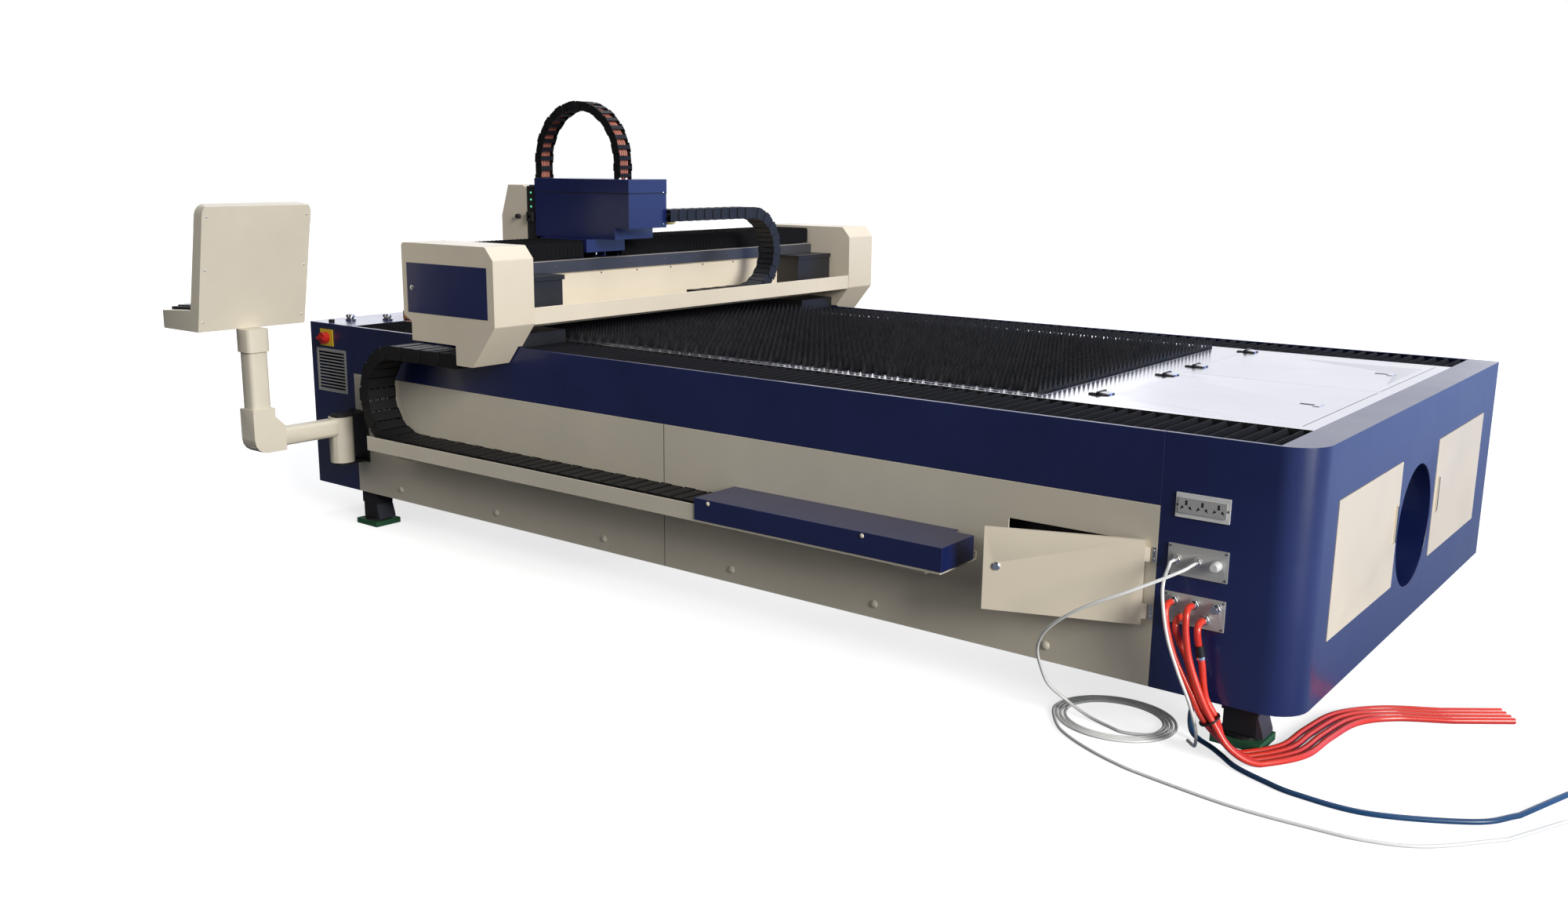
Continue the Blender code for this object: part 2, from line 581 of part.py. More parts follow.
# Gantry: a beam between two end housings that ride on the side rails.
outer = rounded(
    [
        (HOUSING_X[0], HOUSING_TOP, 0.016),
        (HOUSING_X[0], 1.070, 0),
        (-1.298, 1.045, 0),
        (-1.298, 0.965, 0),
        (-1.017, 0.965, 0),
        (-1.017, 0.883, 0.006),
        (-0.913, 0.883, 0.006),
        (HOUSING_X[1], 1.055, 0.012),
        (HOUSING_X[1], 1.320, 0.010),
        (-0.819, HOUSING_TOP, 0.010),
    ],
    3,
)
hollow = inset(outer, SHEET)
panel_x = (-1.316, -0.812)
panel_z = (1.083, 1.290)
for word, side in SIDES:

    def across(low, high):
        return (low * side, high * side) if side > 0 else (high * side, low * side)

    shell = add(f"gantry_end_{word}", slab("XZ", outer, *across(*HOUSING_Y)), CREAM)
    cut(shell, slab("XZ", hollow, *across(HOUSING_Y[0] + SHEET, HOUSING_Y[1] - SHEET)))
    ledge = across(HOUSING_Y[0] - 0.010, BED_Y + 0.006)
    cut(shell, box((-1.400, -0.700), ledge, (0.850, 0.9565)))
    mend = across(BED_Y + 0.0055, BED_Y + 0.010)
    join(shell, slab("XZ", oblong((-1.016, -0.880), (0.930, 0.964)), *mend))
    opening = across(HOUSING_Y[1] - 0.020, HOUSING_Y[1] + 0.020)
    cut(shell, box((panel_x[0] + 0.012, panel_x[1] - 0.012), opening, (1.095, 1.278)))
    shoe = across(0.850, 1.114)
    join(shell, box(FOOT_X, shoe, (RAIL_TOP + 0.0008, 1.0000)))
    join(shell, box((FOOT_X[0] + 0.010, FOOT_X[1] - 0.010), across(1.000, 1.130), (0.960, 0.9995)))
    pin = (panel_x[1], (HOUSING_Y[1] + GAP) * side, sum(panel_z) / 2)
    leaf = across(HOUSING_Y[1] + GAP, HOUSING_Y[1] + 0.0013)
    door = add(f"housing_door_{word}", box(panel_x, leaf, panel_z), NAVY, pin)

beam_y = HOUSING_Y[0] - GAP
outer = [(BEAM_X[0], BEAM_Z[0]), (BEAM_X[1], BEAM_Z[0]), (BEAM_X[1], 1.056), (-0.779, 1.056)]
outer += [(-0.779, 1.050), (-0.775, 1.050), (-0.775, 1.120), (-0.779, 1.120), (-0.779, 1.060)]
outer += [(BEAM_X[1], 1.060), (BEAM_X[1], 1.225), (-1.028, 1.225), (-1.028, 1.280)]
outer += [(-1.034, 1.280), (-1.034, BEAM_Z[1]), (BEAM_X[0], BEAM_Z[1])]
tube = oblong((BEAM_X[0] + 0.008, BEAM_X[1] - 0.008), (BEAM_Z[0] + 0.008, BEAM_Z[1] - 0.008))
beam = add("gantry_beam", slab("XZ", outer, -beam_y, beam_y, [tube]), CREAM)
y_rails = ((-1.270, -1.242), (-1.106, -1.078))
for x in y_rails:
    join(beam, box(x, (-beam_y + 0.010, beam_y - 0.010), (BEAM_Z[1] - SINK, 1.275)))
for word, side in SIDES:
    y = (0.840, beam_y) if side > 0 else (-beam_y, -0.840)
    case = add(f"ledge_box_{word}", box((-1.0397, -0.900), y, (1.0603, 1.2240)), BLACK)
    hollow_y = (min(y) + 0.003, max(y) - 0.003)
    cut(case, box((-1.0367, -0.903), hollow_y, (1.040, 1.221)))

bellow_x = (-1.325, -1.045)
bellow_z = (1.315, 1.360)
span = (-beam_y + 0.001, SADDLE_Y[0] - GAP)
near = folds("YZ", span, bellow_z, bellow_x, 0.060)
add("y_bellows_near", near, CLOTH)
span = (SADDLE_Y[1] + GAP, beam_y - 0.001)
add("y_bellows_far", folds("YZ", span, bellow_z, bellow_x, 0.060), CLOTH)

middle = Y_CHAIN_R - Y_CHAIN_T / 2
low_z = Y_CHAIN_BEND[1] - middle
high_z = Y_CHAIN_BEND[1] + middle
run = [(Y_CHAIN_END, low_z), (Y_CHAIN_BEND[0] - GAP, low_z)]
add("y_chain_lower", chain("YZ", run, Y_CHAIN_T, Y_CHAIN_X, 0.045), CHAIN)
run = [(HEAD_Y[1] + GAP, high_z), (Y_CHAIN_BEND[0] - GAP, high_z)]
add("y_chain_upper", chain("YZ", run, Y_CHAIN_T, Y_CHAIN_X, 0.045), CHAIN)
bend_at = (sum(Y_CHAIN_X) / 2, *Y_CHAIN_BEND)
loop = bent_chain("YZ", Y_CHAIN_BEND, Y_CHAIN_R, Y_CHAIN_T, -90, 90, Y_CHAIN_X, 16)
smooth(add("y_chain_loop", loop, CHAIN, bend_at))

# Carriage on the beam, with the head's box and the lifting axis.
saddle_at = (-1.180, sum(SADDLE_Y) / 2, 1.306)
saddle = add("saddle", box((-1.330, -1.030), SADDLE_Y, (1.306, HEAD_Z[0] - GAP)), NAVY, saddle_at)
for x in y_rails:
    for y in ((SADDLE_Y[0] + 0.010, SADDLE_Y[0] + 0.095), (SADDLE_Y[1] - 0.095, SADDLE_Y[1] - 0.010)):
        join(saddle, box((x[0] - 0.012, x[1] + 0.012), y, (1.275 + GAP, 1.308)))
outline = [(HEAD_X[0], HEAD_Z[0]), (-0.900, HEAD_Z[0]), (-0.900, 1.415), (HEAD_X[1], 1.415)]
outline += [(HEAD_X[1], HEAD_Z[1]), (HEAD_X[0], HEAD_Z[1])]
head = add("head_box", slab("XZ", outline, *HEAD_Y), NAVY)
cavity = oblong((HEAD_X[0] + SHEET, HEAD_X[1] - SHEET), (1.419, HEAD_Z[1] - SHEET))
inner_y = (HEAD_Y[0] + SHEET, HEAD_Y[1] - SHEET)
cut(head, slab("XZ", cavity, *inner_y))
cut(head, box((HEAD_X[0] + SHEET, -0.904), inner_y, (HEAD_Z[0] + SHEET, 1.430)))
cut(head, box((-0.880, -0.830), (-0.480, -0.300), (1.400, 1.430)))

plate = add("z_plate", box((-1.480, HEAD_X[0] - GAP), (-0.490, -0.294), LIFT_Z), NAVY)
cover_y = (-0.505, -0.280)
outline = [(-1.4803, 1.300), (-1.4803, LIFT_Z[1] - 0.012), (-1.512, LIFT_Z[1]), (-1.610, LIFT_Z[1])]
outline += [(-1.660, 1.450), (-1.660, 1.300)]
hood = add("head_cover", slab("XZ", outline, *cover_y), CREAM)
inner = inset(outline, SHEET)
inner = [(a, b if b > 1.35 else 1.250) for a, b in inner]
cut(hood, slab("XZ", inner, cover_y[0] + SHEET, cover_y[1] - SHEET))
body = rod("Z", (*TORCH, 1.160), 1.500, 0.040, 24)
torch = add("cutting_head", body, PLATE, (*TORCH, 1.160))
join(torch, rod("Z", (*TORCH, 1.110), 1.170, 0.026, 20))
join(torch, rod("Z", (*TORCH, NOZZLE_Z), 1.112, 0.004, 20, 0.016))
join(torch, box((TORCH[0], -1.4803), (TORCH[1] - 0.030, TORCH[1] + 0.030), (1.170, 1.280)))
join(torch, box((TORCH[0], -1.4850), (TORCH[1] - 0.030, TORCH[1] + 0.030), (1.270, 1.460)))

arch_r = (ARCH_X[1] - ARCH_X[0]) / 2
arch_c = ((ARCH_X[0] + ARCH_X[1]) / 2, HEAD_Z[1] + ARCH_STEM)
ride = arc(arch_c, arch_r - ARCH_T / 2, 180, 0, 24)
path = [(ARCH_X[0] + ARCH_T / 2, LIFT_Z[1] + GAP), *ride, (ARCH_X[1] - ARCH_T / 2, HEAD_Z[1] + GAP)]
smooth(add("z_chain", chain("XZ", path, ARCH_T, ARCH_Y, 0.034), CHAIN))

# Operator's console on its swinging arm.
hub_r = 0.055
plate_y = (-BED_Y - 0.010, -BED_Y - GAP)
bracket = add("console_bracket", box((PIVOT[0] - 0.075, PIVOT[0] + 0.055), plate_y, BRACKET_Z), BLACK)
tongue_t = 0.012
tongue = [(PIVOT[0] - 0.040, -BED_Y - 0.004, 0), (PIVOT[0] + 0.040, -BED_Y - 0.004, 0)]
tongue += [(PIVOT[0] + 0.040, PIVOT[1] - 0.040, 0.030), (PIVOT[0] - 0.040, PIVOT[1] - 0.040, 0.030)]
low_tongue = (BRACKET_Z[0] + 0.002, BRACKET_Z[0] + 0.002 + tongue_t)
high_tongue = (BRACKET_Z[1] - 0.002 - tongue_t, BRACKET_Z[1] - 0.002)
for z in (low_tongue, high_tongue):
    join(bracket, slab("XY", rounded(tongue), *z))
pin_r = 0.012
join(bracket, rod("Z", (*PIVOT, low_tongue[1] - SINK), high_tongue[0] + SINK, pin_r, 16))
hub_z = (low_tongue[1] + GAP, high_tongue[0] - GAP)
bore = [(PIVOT[0] + (pin_r + GAP) * a, PIVOT[1] + (pin_r + GAP) * b) for a, b in circle[::2]]
rim = [(PIVOT[0] + hub_r * a, PIVOT[1] + hub_r * b) for a, b in circle[::2]]
arm = add("console_arm", slab("XY", rim, *hub_z, [bore]), GREY, (*PIVOT, sum(hub_z) / 2))
tube_z = (ARM_Z - 0.040, ARM_Z + 0.040)
tube_x = (PIVOT[0] - 0.040, PIVOT[0] + 0.040)
flat = [(a, b, 0.018) for a, b in oblong(tube_x, tube_z)]
join(arm, slab("XZ", rounded(flat, 3), POST[1] + 0.010, PIVOT[1] - 0.040))
half = 0.045
square = oblong((POST[0] - half, POST[0] + half), (POST[1] - half, POST[1] + half))
flat = [(a, b, 0.020) for a, b in square]
join(arm, slab("XY", rounded(flat, 3), 0.470, 0.930))
elbow = [(POST[1] - 0.054, 0.445, 0.060), (POST[1] + 0.100, 0.445, 0), (POST[1] + 0.100, 0.555, 0)]
elbow += [(POST[1] + 0.054, 0.600, 0), (POST[1] + 0.054, 0.640, 0), (POST[1] - 0.054, 0.640, 0)]
join(arm, slab("YZ", rounded(elbow, 4), POST[0] - 0.052, POST[0] + 0.052))
half += 0.008
square = oblong((POST[0] - half, POST[0] + half), (POST[1] - half, POST[1] + half))
flat = [(a, b, 0.022) for a, b in square]
join(arm, slab("XY", rounded(flat, 3), POST_TOP - 0.100, POST_TOP - GAP))

slant = (CONSOLE_BACK_X[1] - CONSOLE_BACK_X[0]) / (CONSOLE_Z[1] - CONSOLE_Z[0])
depth = 0.060
outline = [
    (CONSOLE_BACK_X[0], POST_TOP),
    (CONSOLE_BACK_X[1], CONSOLE_Z[1]),
    (CONSOLE_BACK_X[1] - depth, CONSOLE_Z[1] + 0.010),
    (CONSOLE_BACK_X[0] - depth + 0.010, 1.080),
    (-2.290, 1.066),
    (-2.315, 1.050),
    (-2.315, POST_TOP),
]
console_at = (*POST, POST_TOP)
console = add("console_box", slab("XZ", outline, *CONSOLE_Y), GREY, console_at)
corners = [(CONSOLE_Y[0], 0.980, 0), (CONSOLE_Y[1], 0.980, 0)]
corners += [(CONSOLE_Y[1], CONSOLE_Z[1] + 0.012, 0.045), (CONSOLE_Y[0], CONSOLE_Z[1] + 0.012, 0.045)]
keep(console, slab("YZ", rounded(corners), -2.400, -1.800))
corners = [(-2.315, CONSOLE_Y[0], 0.050), (-1.800, CONSOLE_Y[0], 0), (-1.800, CONSOLE_Y[1], 0)]
corners += [(-2.315, CONSOLE_Y[1], 0.050)]
keep(console, slab("XY", rounded(corners), 0.950, 1.600))
inner_y = (CONSOLE_Y[0] + SHEET, CONSOLE_Y[1] - SHEET)
core = [
    (CONSOLE_BACK_X[0] - 0.002, 0.994),
    (CONSOLE_BACK_X[1] - 0.010, CONSOLE_Z[1] - 0.046),
    (CONSOLE_BACK_X[1] - depth - 0.003, CONSOLE_Z[1] - 0.046),
    (CONSOLE_BACK_X[0] - depth + 0.010, 1.076),
    (-2.260, 1.062),
    (-2.260, 0.994),
]
cut(console, slab("XZ", core, *inner_y))
screen = [
    (CONSOLE_BACK_X[0] - depth - 0.100, 1.130),
    (CONSOLE_BACK_X[0] - depth + 0.060, 1.130),
    (CONSOLE_BACK_X[1] - depth + 0.010, 1.450),
    (CONSOLE_BACK_X[1] - depth - 0.100, 1.450),
]
cut(console, slab("XZ", screen, CONSOLE_Y[0] + 0.050, CONSOLE_Y[1] - 0.050))
keys = [(-2.285, 1.0672), (-2.080, 1.0792), (-2.080, 1.0892), (-2.285, 1.0792)]
add("console_keyboard", slab("XZ", keys, CONSOLE_Y[0] + 0.045, CONSOLE_Y[1] - 0.045), BLACK)

# Doors of the bed, the side door standing ajar.
hinge = (HATCH_X[1], -BED_Y - GAP - 0.015, sum(HATCH_Z) / 2)
leaf = box(HATCH_X, (hinge[1], -BED_Y - GAP), HATCH_Z)
door = add("side_door", leaf, CREAM, hinge)
knuckle = [Vector((-0.005, 0.0005)), Vector((-0.005, 0.0142))]
for i in range(9):
    around = math.radians(90.0 - 11.0 * i)
    knuckle.append(Vector((0.0147 * math.cos(around), 0.0147 * math.sin(around))))
for z in (HATCH_Z[0] + 0.020, HATCH_Z[1] - 0.065):
    place = [tuple(Vector(hinge[:2]) + Matrix.Rotation(DOOR_OPEN, 2) @ p) for p in knuckle]
    join(door, slab("XY", place, z, z + 0.045))
lock = rod("Y", (HATCH_X[0] + 0.040, hinge[1] - 0.004, 0.500), hinge[1] + 0.004, 0.011, 16)
lock.transform(Matrix.Translation(-Vector(hinge)))
pick = join(door, lock).modifiers[-1].object
turn = Matrix.Translation(hinge) @ Matrix.Rotation(DOOR_OPEN, 4, "Z")
pick.data.transform(Matrix.Rotation(DOOR_OPEN, 4, "Z"))
pick.location = hinge
door.data.transform(Matrix.Rotation(DOOR_OPEN, 4, "Z"))
for word, span, hinge_side, grip_y in (
    ("near", END_DOOR_NEAR_Y, 0, END_DOOR_NEAR_Y[1] - 0.035),
    ("far", END_DOOR_FAR_Y, 1, END_DOOR_FAR_Y[0] + 0.035),
):
    slack = [0.0015, 0.0015]
    slack[hinge_side] = GAP
    inner_y = (span[0] + slack[0], span[1] - slack[1])
    inner_z = (END_DOOR_Z[0] + 0.0015, END_DOOR_Z[1] - 0.0015)
    pin = (BED_X + 0.002, inner_y[hinge_side], sum(END_DOOR_Z) / 2)
    door = add(f"end_door_{word}", box((BED_X - 0.012, BED_X + 0.002), inner_y, inner_z), CREAM, pin)
    join(door, box((BED_X, BED_X + 0.008), (grip_y - 0.006, grip_y + 0.006), (0.505, 0.635)))


def spread(points, spacing):
    """Even points along a smooth curve through the chosen points."""
    fine = []
    ends = [2 * Vector(points[0]) - Vector(points[1]), *map(Vector, points)]
    ends.append(2 * Vector(points[-1]) - Vector(points[-2]))
    for a, b, c, d in zip(ends, ends[1:], ends[2:], ends[3:]):
        for k in range(24):
            t = k / 24
            fine.append(
                0.5
                * (
                    2 * b
                    + (c - a) * t
                    + (2 * a - 5 * b + 4 * c - d) * t * t
                    + (3 * b - a - 3 * c + d) * t * t * t
                )
            )
    fine.append(Vector(points[-1]))
    return link_path([tuple(p) for p in fine], spacing)


def cord(name, points, diameter, mat, spacing):
    """A hose or tube as a bevelled curve: straight at its two ends, through points on its way."""
    curve = bpy.data.curves.new(name, "CURVE")
    curve.dimensions = "3D"
    curve.bevel_depth = diameter / 2
    curve.bevel_resolution = 2
    curve.use_fill_caps = True
    lowest = diameter / 2 + 0.0005
    places = [Vector(points[0]), *spread(points[1:-1], spacing), Vector(points[-1])]
    places = [Vector((x, y, max(z, lowest))) for x, y, z in places]
    spline = curve.splines.new("POLY")
    spline.points.add(len(places) - 1)
    for point, place in zip(spline.points, places):
        point.co = (*place, 1.0)
    curve.materials.append(mat)
    piece = bpy.data.objects.new(name, curve)
    parts.objects.link(piece)
    return piece


def beside(points, offset):
    """Floor points moved sideways, to the left of the way they run."""
    moved = []
    for i, point in enumerate(points):
        ahead = Vector(points[min(i + 1, len(points) - 1)]) - Vector(points[max(i - 1, 0)])
        left = Vector((-ahead.y, ahead.x, 0.0)).normalized()
        moved.append(tuple(Vector(point) + left * offset))
    return moved


# Hoses and tubes that leave the right end unit and lie on the floor.
red_d = 0.020
fitting = -BED_Y - 0.005 - 0.026 - 2 * GAP
floor = red_d / 2 + 0.0005
bundle = [
    (2.222, -1.100, floor),
    (2.300, -0.965, floor),
    (2.318, -0.790, floor),
    (2.350, -0.610, floor),
    (2.440, -0.480, floor),
    (2.590, -0.380, floor),
    (2.740, -0.260, floor),
]
tied = ((-0.014, -0.014), (-0.014, 0.014), (0.014, -0.014), (0.014, 0.014))
middles = ((2.022, -1.214), (2.046, -1.188), (2.066, -1.216), (2.092, -1.192))
rows = (-0.014, 0.040, -0.040, 0.014)
for i, (x, z) in enumerate(zip(hose_x, hose_z)):
    aside, ahead = tied[i]
    middle_x, middle_y = middles[i]
    way = [
        (x, fitting, z),
        (x, fitting - 0.024, z),
        (x + 0.003, fitting - 0.042, z - 0.020),
        (x + (middle_x - x) * 0.35, middle_y, z - 0.075),
        (middle_x, middle_y, 0.300),
        (2.092 + aside, -1.197 + ahead, 0.200),
        (2.124 + aside, -1.184 + ahead, 0.135),
        (2.166 - 0.60 * rows[i], -1.150 + 0.80 * rows[i], 0.058),
    ]
    cord(f"red_hose_{i + 1}", way + beside(bundle, rows[i]), red_d, HOSE_RED, 0.045)

tube_d = 0.010
floor = tube_d / 2 + 0.0005
way = [
    (gas_x[0], fitting, gas_z),
    (gas_x[0], fitting - 0.024, gas_z),
    (gas_x[0] - 0.008, fitting - 0.044, gas_z - 0.057),
    (1.979, -1.231, 0.467),
    (2.005, -1.245, 0.372),
    (2.043, -1.246, 0.277),
    (2.078, -1.228, 0.182),
    (2.085, -1.180, 0.085),
    (2.070, -1.135, 0.022),
    (2.048, -1.100, floor),
    (2.026, -1.078, floor),
]
cord("white_tube_short", way, tube_d, HOSE_WHITE, 0.025)
coil_at = Vector((1.785, -1.060, 0.0195))
coil_r = (0.200, 0.180)
coil_fat = (0.017, 0.019)


def coil_side(degrees, away):
    """A point straight out from the coil's outer face."""
    angle = math.radians(degrees)
    out = Vector((coil_r[0] * math.cos(angle), coil_r[1] * math.sin(angle), 0.0))
    return tuple(coil_at + out + out.normalized() * (coil_fat[0] + away))


way = [
    (gas_x[1], fitting, gas_z),
    (gas_x[1], fitting - 0.030, gas_z),
    (gas_x[1] - 0.008, fitting - 0.067, gas_z - 0.006),
    (1.977, -1.280, 0.545),
    (1.896, -1.325, 0.502),
    (1.802, -1.345, 0.452),
    (1.719, -1.345, 0.393),
    (1.656, -1.325, 0.329),
    (1.619, -1.285, 0.260),
    (1.603, -1.225, 0.185),
    (1.560, -1.150, 0.075),
    coil_side(192, 0.045),
    coil_side(192, 0.020),
    coil_side(192, 0.0005),
]
cord("white_tube_drop", way, tube_d, HOSE_WHITE, 0.025)
way = [
    coil_side(255, 0.0005),
    coil_side(255, 0.025),
    (1.750, -1.290, 0.008),
    (1.825, -1.330, floor),
    (1.914, -1.366, floor),
    (2.015, -1.392, floor),
    (2.280, -1.427, floor),
    (2.498, -1.417, floor),
    (2.630, -1.396, floor),
    (2.757, -1.329, floor),
    (2.909, -1.155, floor),
    (3.010, -0.943, floor),
]
cord("white_tube_run", way, tube_d, HOSE_WHITE, 0.030)
coil = bmesh.new()
around = 40
rings = []
for i in range(around):
    angle = math.tau * i / around
    out = Vector((coil_r[0] * math.cos(angle), coil_r[1] * math.sin(angle), 0.0))
    section = []
    for k in range(8):
        tilt = math.tau * k / 8
        sideways = out.normalized() * math.cos(tilt) * coil_fat[0]
        upward = Vector((0.0, 0.0, math.sin(tilt) * coil_fat[1]))
        section.append(coil.verts.new(coil_at + out + sideways + upward))
    rings.append(section)
for i in range(around):
    here = rings[i]
    there = rings[(i + 1) % around]
    for k in range(8):
        coil.faces.new((here[k], there[k], there[(k + 1) % 8], here[(k + 1) % 8]))
add("white_tube_coil", mesh_from(coil), HOSE_WHITE)

blue_d = 0.016
floor = blue_d / 2 + 0.0005
way = [
    (union_at[0] - 0.0256, *union_at[1:]),
    (union_at[0] - 0.050, *union_at[1:]),
    (2.022, -0.985, 0.118),
    (2.006, -1.010, 0.075),
    (2.022, -1.040, 0.024),
    (2.062, -1.062, floor),
    (2.105, -1.090, floor),
    (2.148, -1.127, floor),
    (2.208, -1.179, floor),
    (2.300, -1.220, floor),
    (2.400, -1.248, floor),
    (2.589, -1.241, floor),
    (2.818, -1.113, floor),
    (2.904, -0.995, floor),
    (2.983, -0.766, floor),
]
cord("blue_hose", way, blue_d, HOSE_BLUE, 0.040)

datum = bpy.data.objects.new("floor_datum", None)
scene.collection.objects.link(datum)
datum.location = SHIFT
for thing in [*parts.objects, *tools.objects]:
    thing.parent = datum
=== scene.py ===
"""Studio picture of the fiber laser cutting machine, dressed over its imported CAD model.

Positions are measured from the middle of the bed at floor level, as in the part's source, and
ROW moves them into the row frame when a piece is made.
"""

import json
import math

import bmesh
import bpy
from mathutils import Matrix, Vector

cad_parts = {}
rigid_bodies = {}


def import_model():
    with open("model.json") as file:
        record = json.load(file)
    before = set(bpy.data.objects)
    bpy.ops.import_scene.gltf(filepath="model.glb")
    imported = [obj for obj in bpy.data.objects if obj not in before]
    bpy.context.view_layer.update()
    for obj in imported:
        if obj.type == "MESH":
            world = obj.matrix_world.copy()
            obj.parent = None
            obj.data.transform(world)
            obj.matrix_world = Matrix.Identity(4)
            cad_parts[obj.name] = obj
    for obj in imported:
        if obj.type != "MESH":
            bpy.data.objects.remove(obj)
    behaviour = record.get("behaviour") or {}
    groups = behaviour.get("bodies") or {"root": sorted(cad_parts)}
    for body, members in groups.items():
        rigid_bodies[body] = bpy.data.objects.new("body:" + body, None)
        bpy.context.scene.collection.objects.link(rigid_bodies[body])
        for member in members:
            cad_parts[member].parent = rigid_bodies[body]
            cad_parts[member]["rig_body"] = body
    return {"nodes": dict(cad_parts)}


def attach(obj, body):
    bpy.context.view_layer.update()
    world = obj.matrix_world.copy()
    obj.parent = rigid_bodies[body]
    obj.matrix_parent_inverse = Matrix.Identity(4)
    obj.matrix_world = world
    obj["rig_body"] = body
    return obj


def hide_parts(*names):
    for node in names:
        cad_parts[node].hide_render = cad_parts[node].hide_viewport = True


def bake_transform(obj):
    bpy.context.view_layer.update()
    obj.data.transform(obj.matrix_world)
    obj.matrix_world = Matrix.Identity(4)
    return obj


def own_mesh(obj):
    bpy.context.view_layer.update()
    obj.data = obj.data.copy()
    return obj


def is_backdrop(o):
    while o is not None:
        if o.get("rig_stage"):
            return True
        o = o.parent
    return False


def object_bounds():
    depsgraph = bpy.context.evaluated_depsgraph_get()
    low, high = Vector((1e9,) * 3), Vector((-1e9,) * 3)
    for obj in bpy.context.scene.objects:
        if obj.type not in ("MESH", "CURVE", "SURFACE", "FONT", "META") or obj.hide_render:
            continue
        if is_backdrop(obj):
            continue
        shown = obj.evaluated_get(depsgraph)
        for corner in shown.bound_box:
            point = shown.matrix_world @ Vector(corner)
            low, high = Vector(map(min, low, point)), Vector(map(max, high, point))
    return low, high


for old in list(bpy.data.objects):
    bpy.data.objects.remove(old, do_unlink=True)
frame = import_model()
cad_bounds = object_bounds()
scene = bpy.context.scene

ROW = Vector((-0.013, 0.28235, 0.0))
BED_X = 2.351
BED_Y = 1.136
BED_TOP = 0.950

# Camera.
azimuth = 0.67814
descent = 0.21088
roll = 0.0056
forward = Vector(
    (
        -math.sin(azimuth) * math.cos(descent),
        math.cos(azimuth) * math.cos(descent),
        -math.sin(descent),
    )
)
level = forward.cross(Vector((0, 0, 1))).normalized()
upright = level.cross(forward)
right = level * math.cos(roll) + upright * math.sin(roll)
up = upright * math.cos(roll) - level * math.sin(roll)
lens = bpy.data.cameras.new("camera")
lens.sensor_width = 36.0
lens.lens = 31.535
lens.shift_x = 0.02323
lens.shift_y = 0.00236
lens.clip_end = 100.0
camera = bpy.data.objects.new("camera", lens)
camera.matrix_world = Matrix.Translation((3.4086, -4.6539, 1.7041)) @ Matrix(
    (
        (right.x, up.x, -forward.x, 0),
        (right.y, up.y, -forward.y, 0),
        (right.z, up.z, -forward.z, 0),
        (0, 0, 0, 1),
    )
)
scene.collection.objects.link(camera)
scene.camera = camera


# Shader groups.
def shader_group(name, inputs, outputs):
    """An empty node group with its sockets, its node tree and its two ends."""
    group = bpy.data.node_groups.new(name, "ShaderNodeTree")
    for word, default in inputs:
        socket = group.interface.new_socket(word, in_out="INPUT", socket_type="NodeSocketFloat")
        socket.default_value = default
    for word, kind in outputs:
        group.interface.new_socket(word, in_out="OUTPUT", socket_type=kind)
    return group, group.nodes.new("NodeGroupInput"), group.nodes.new("NodeGroupOutput")


def node(tree, kind, **values):
    """A node with its settings and input values."""
    made = tree.nodes.new(kind)
    for word, value in values.items():
        if word in made.inputs:
            made.inputs[word].default_value = value
        else:
            setattr(made, word, value)
    return made


FLOAT, VECTOR = "NodeSocketFloat", "NodeSocketVector"

grain, ends, out = shader_group(
    "grain",
    [("Scale", 3.0), ("Fine", 300.0), ("Depth", 0.1)],
    [("Mottle", FLOAT), ("Speck", FLOAT), ("Normal", VECTOR)],
)
place = node(grain, "ShaderNodeTexCoord")
broad = node(grain, "ShaderNodeTexNoise", Detail=5.0, Roughness=0.6)
fine = node(grain, "ShaderNodeTexNoise", Detail=2.0)
bump = node(grain, "ShaderNodeBump", Distance=0.0006)
grain.links.new(place.outputs["Object"], broad.inputs["Vector"])
grain.links.new(place.outputs["Object"], fine.inputs["Vector"])
grain.links.new(ends.outputs["Scale"], broad.inputs["Scale"])
grain.links.new(ends.outputs["Fine"], fine.inputs["Scale"])
grain.links.new(fine.outputs["Fac"], bump.inputs["Height"])
grain.links.new(ends.outputs["Depth"], bump.inputs["Strength"])
grain.links.new(broad.outputs["Fac"], out.inputs["Mottle"])
grain.links.new(fine.outputs["Fac"], out.inputs["Speck"])
grain.links.new(bump.outputs["Normal"], out.inputs["Normal"])

brush, ends, out = shader_group(
    "brushing",
    [("Along", 1.5), ("Across", 260.0), ("Depth", 0.15)],
    [("Streak", FLOAT), ("Cloud", FLOAT), ("Normal", VECTOR)],
)
place = node(brush, "ShaderNodeTexCoord")
sizes = node(brush, "ShaderNodeCombineXYZ")
stretch = node(brush, "ShaderNodeVectorMath", operation="MULTIPLY")
lines = node(brush, "ShaderNodeTexNoise", Scale=1.0, Detail=3.0, Roughness=0.7)
cloud = node(brush, "ShaderNodeTexNoise", Scale=1.3, Detail=4.0)
bump = node(brush, "ShaderNodeBump", Distance=0.0004)
brush.links.new(ends.outputs["Along"], sizes.inputs["X"])
brush.links.new(ends.outputs["Across"], sizes.inputs["Y"])
brush.links.new(ends.outputs["Across"], sizes.inputs["Z"])
brush.links.new(place.outputs["Object"], stretch.inputs[0])
brush.links.new(sizes.outputs["Vector"], stretch.inputs[1])
brush.links.new(stretch.outputs["Vector"], lines.inputs["Vector"])
brush.links.new(place.outputs["Object"], cloud.inputs["Vector"])
brush.links.new(lines.outputs["Fac"], bump.inputs["Height"])
brush.links.new(ends.outputs["Depth"], bump.inputs["Strength"])
brush.links.new(lines.outputs["Fac"], out.inputs["Streak"])
brush.links.new(cloud.outputs["Fac"], out.inputs["Cloud"])
brush.links.new(bump.outputs["Normal"], out.inputs["Normal"])


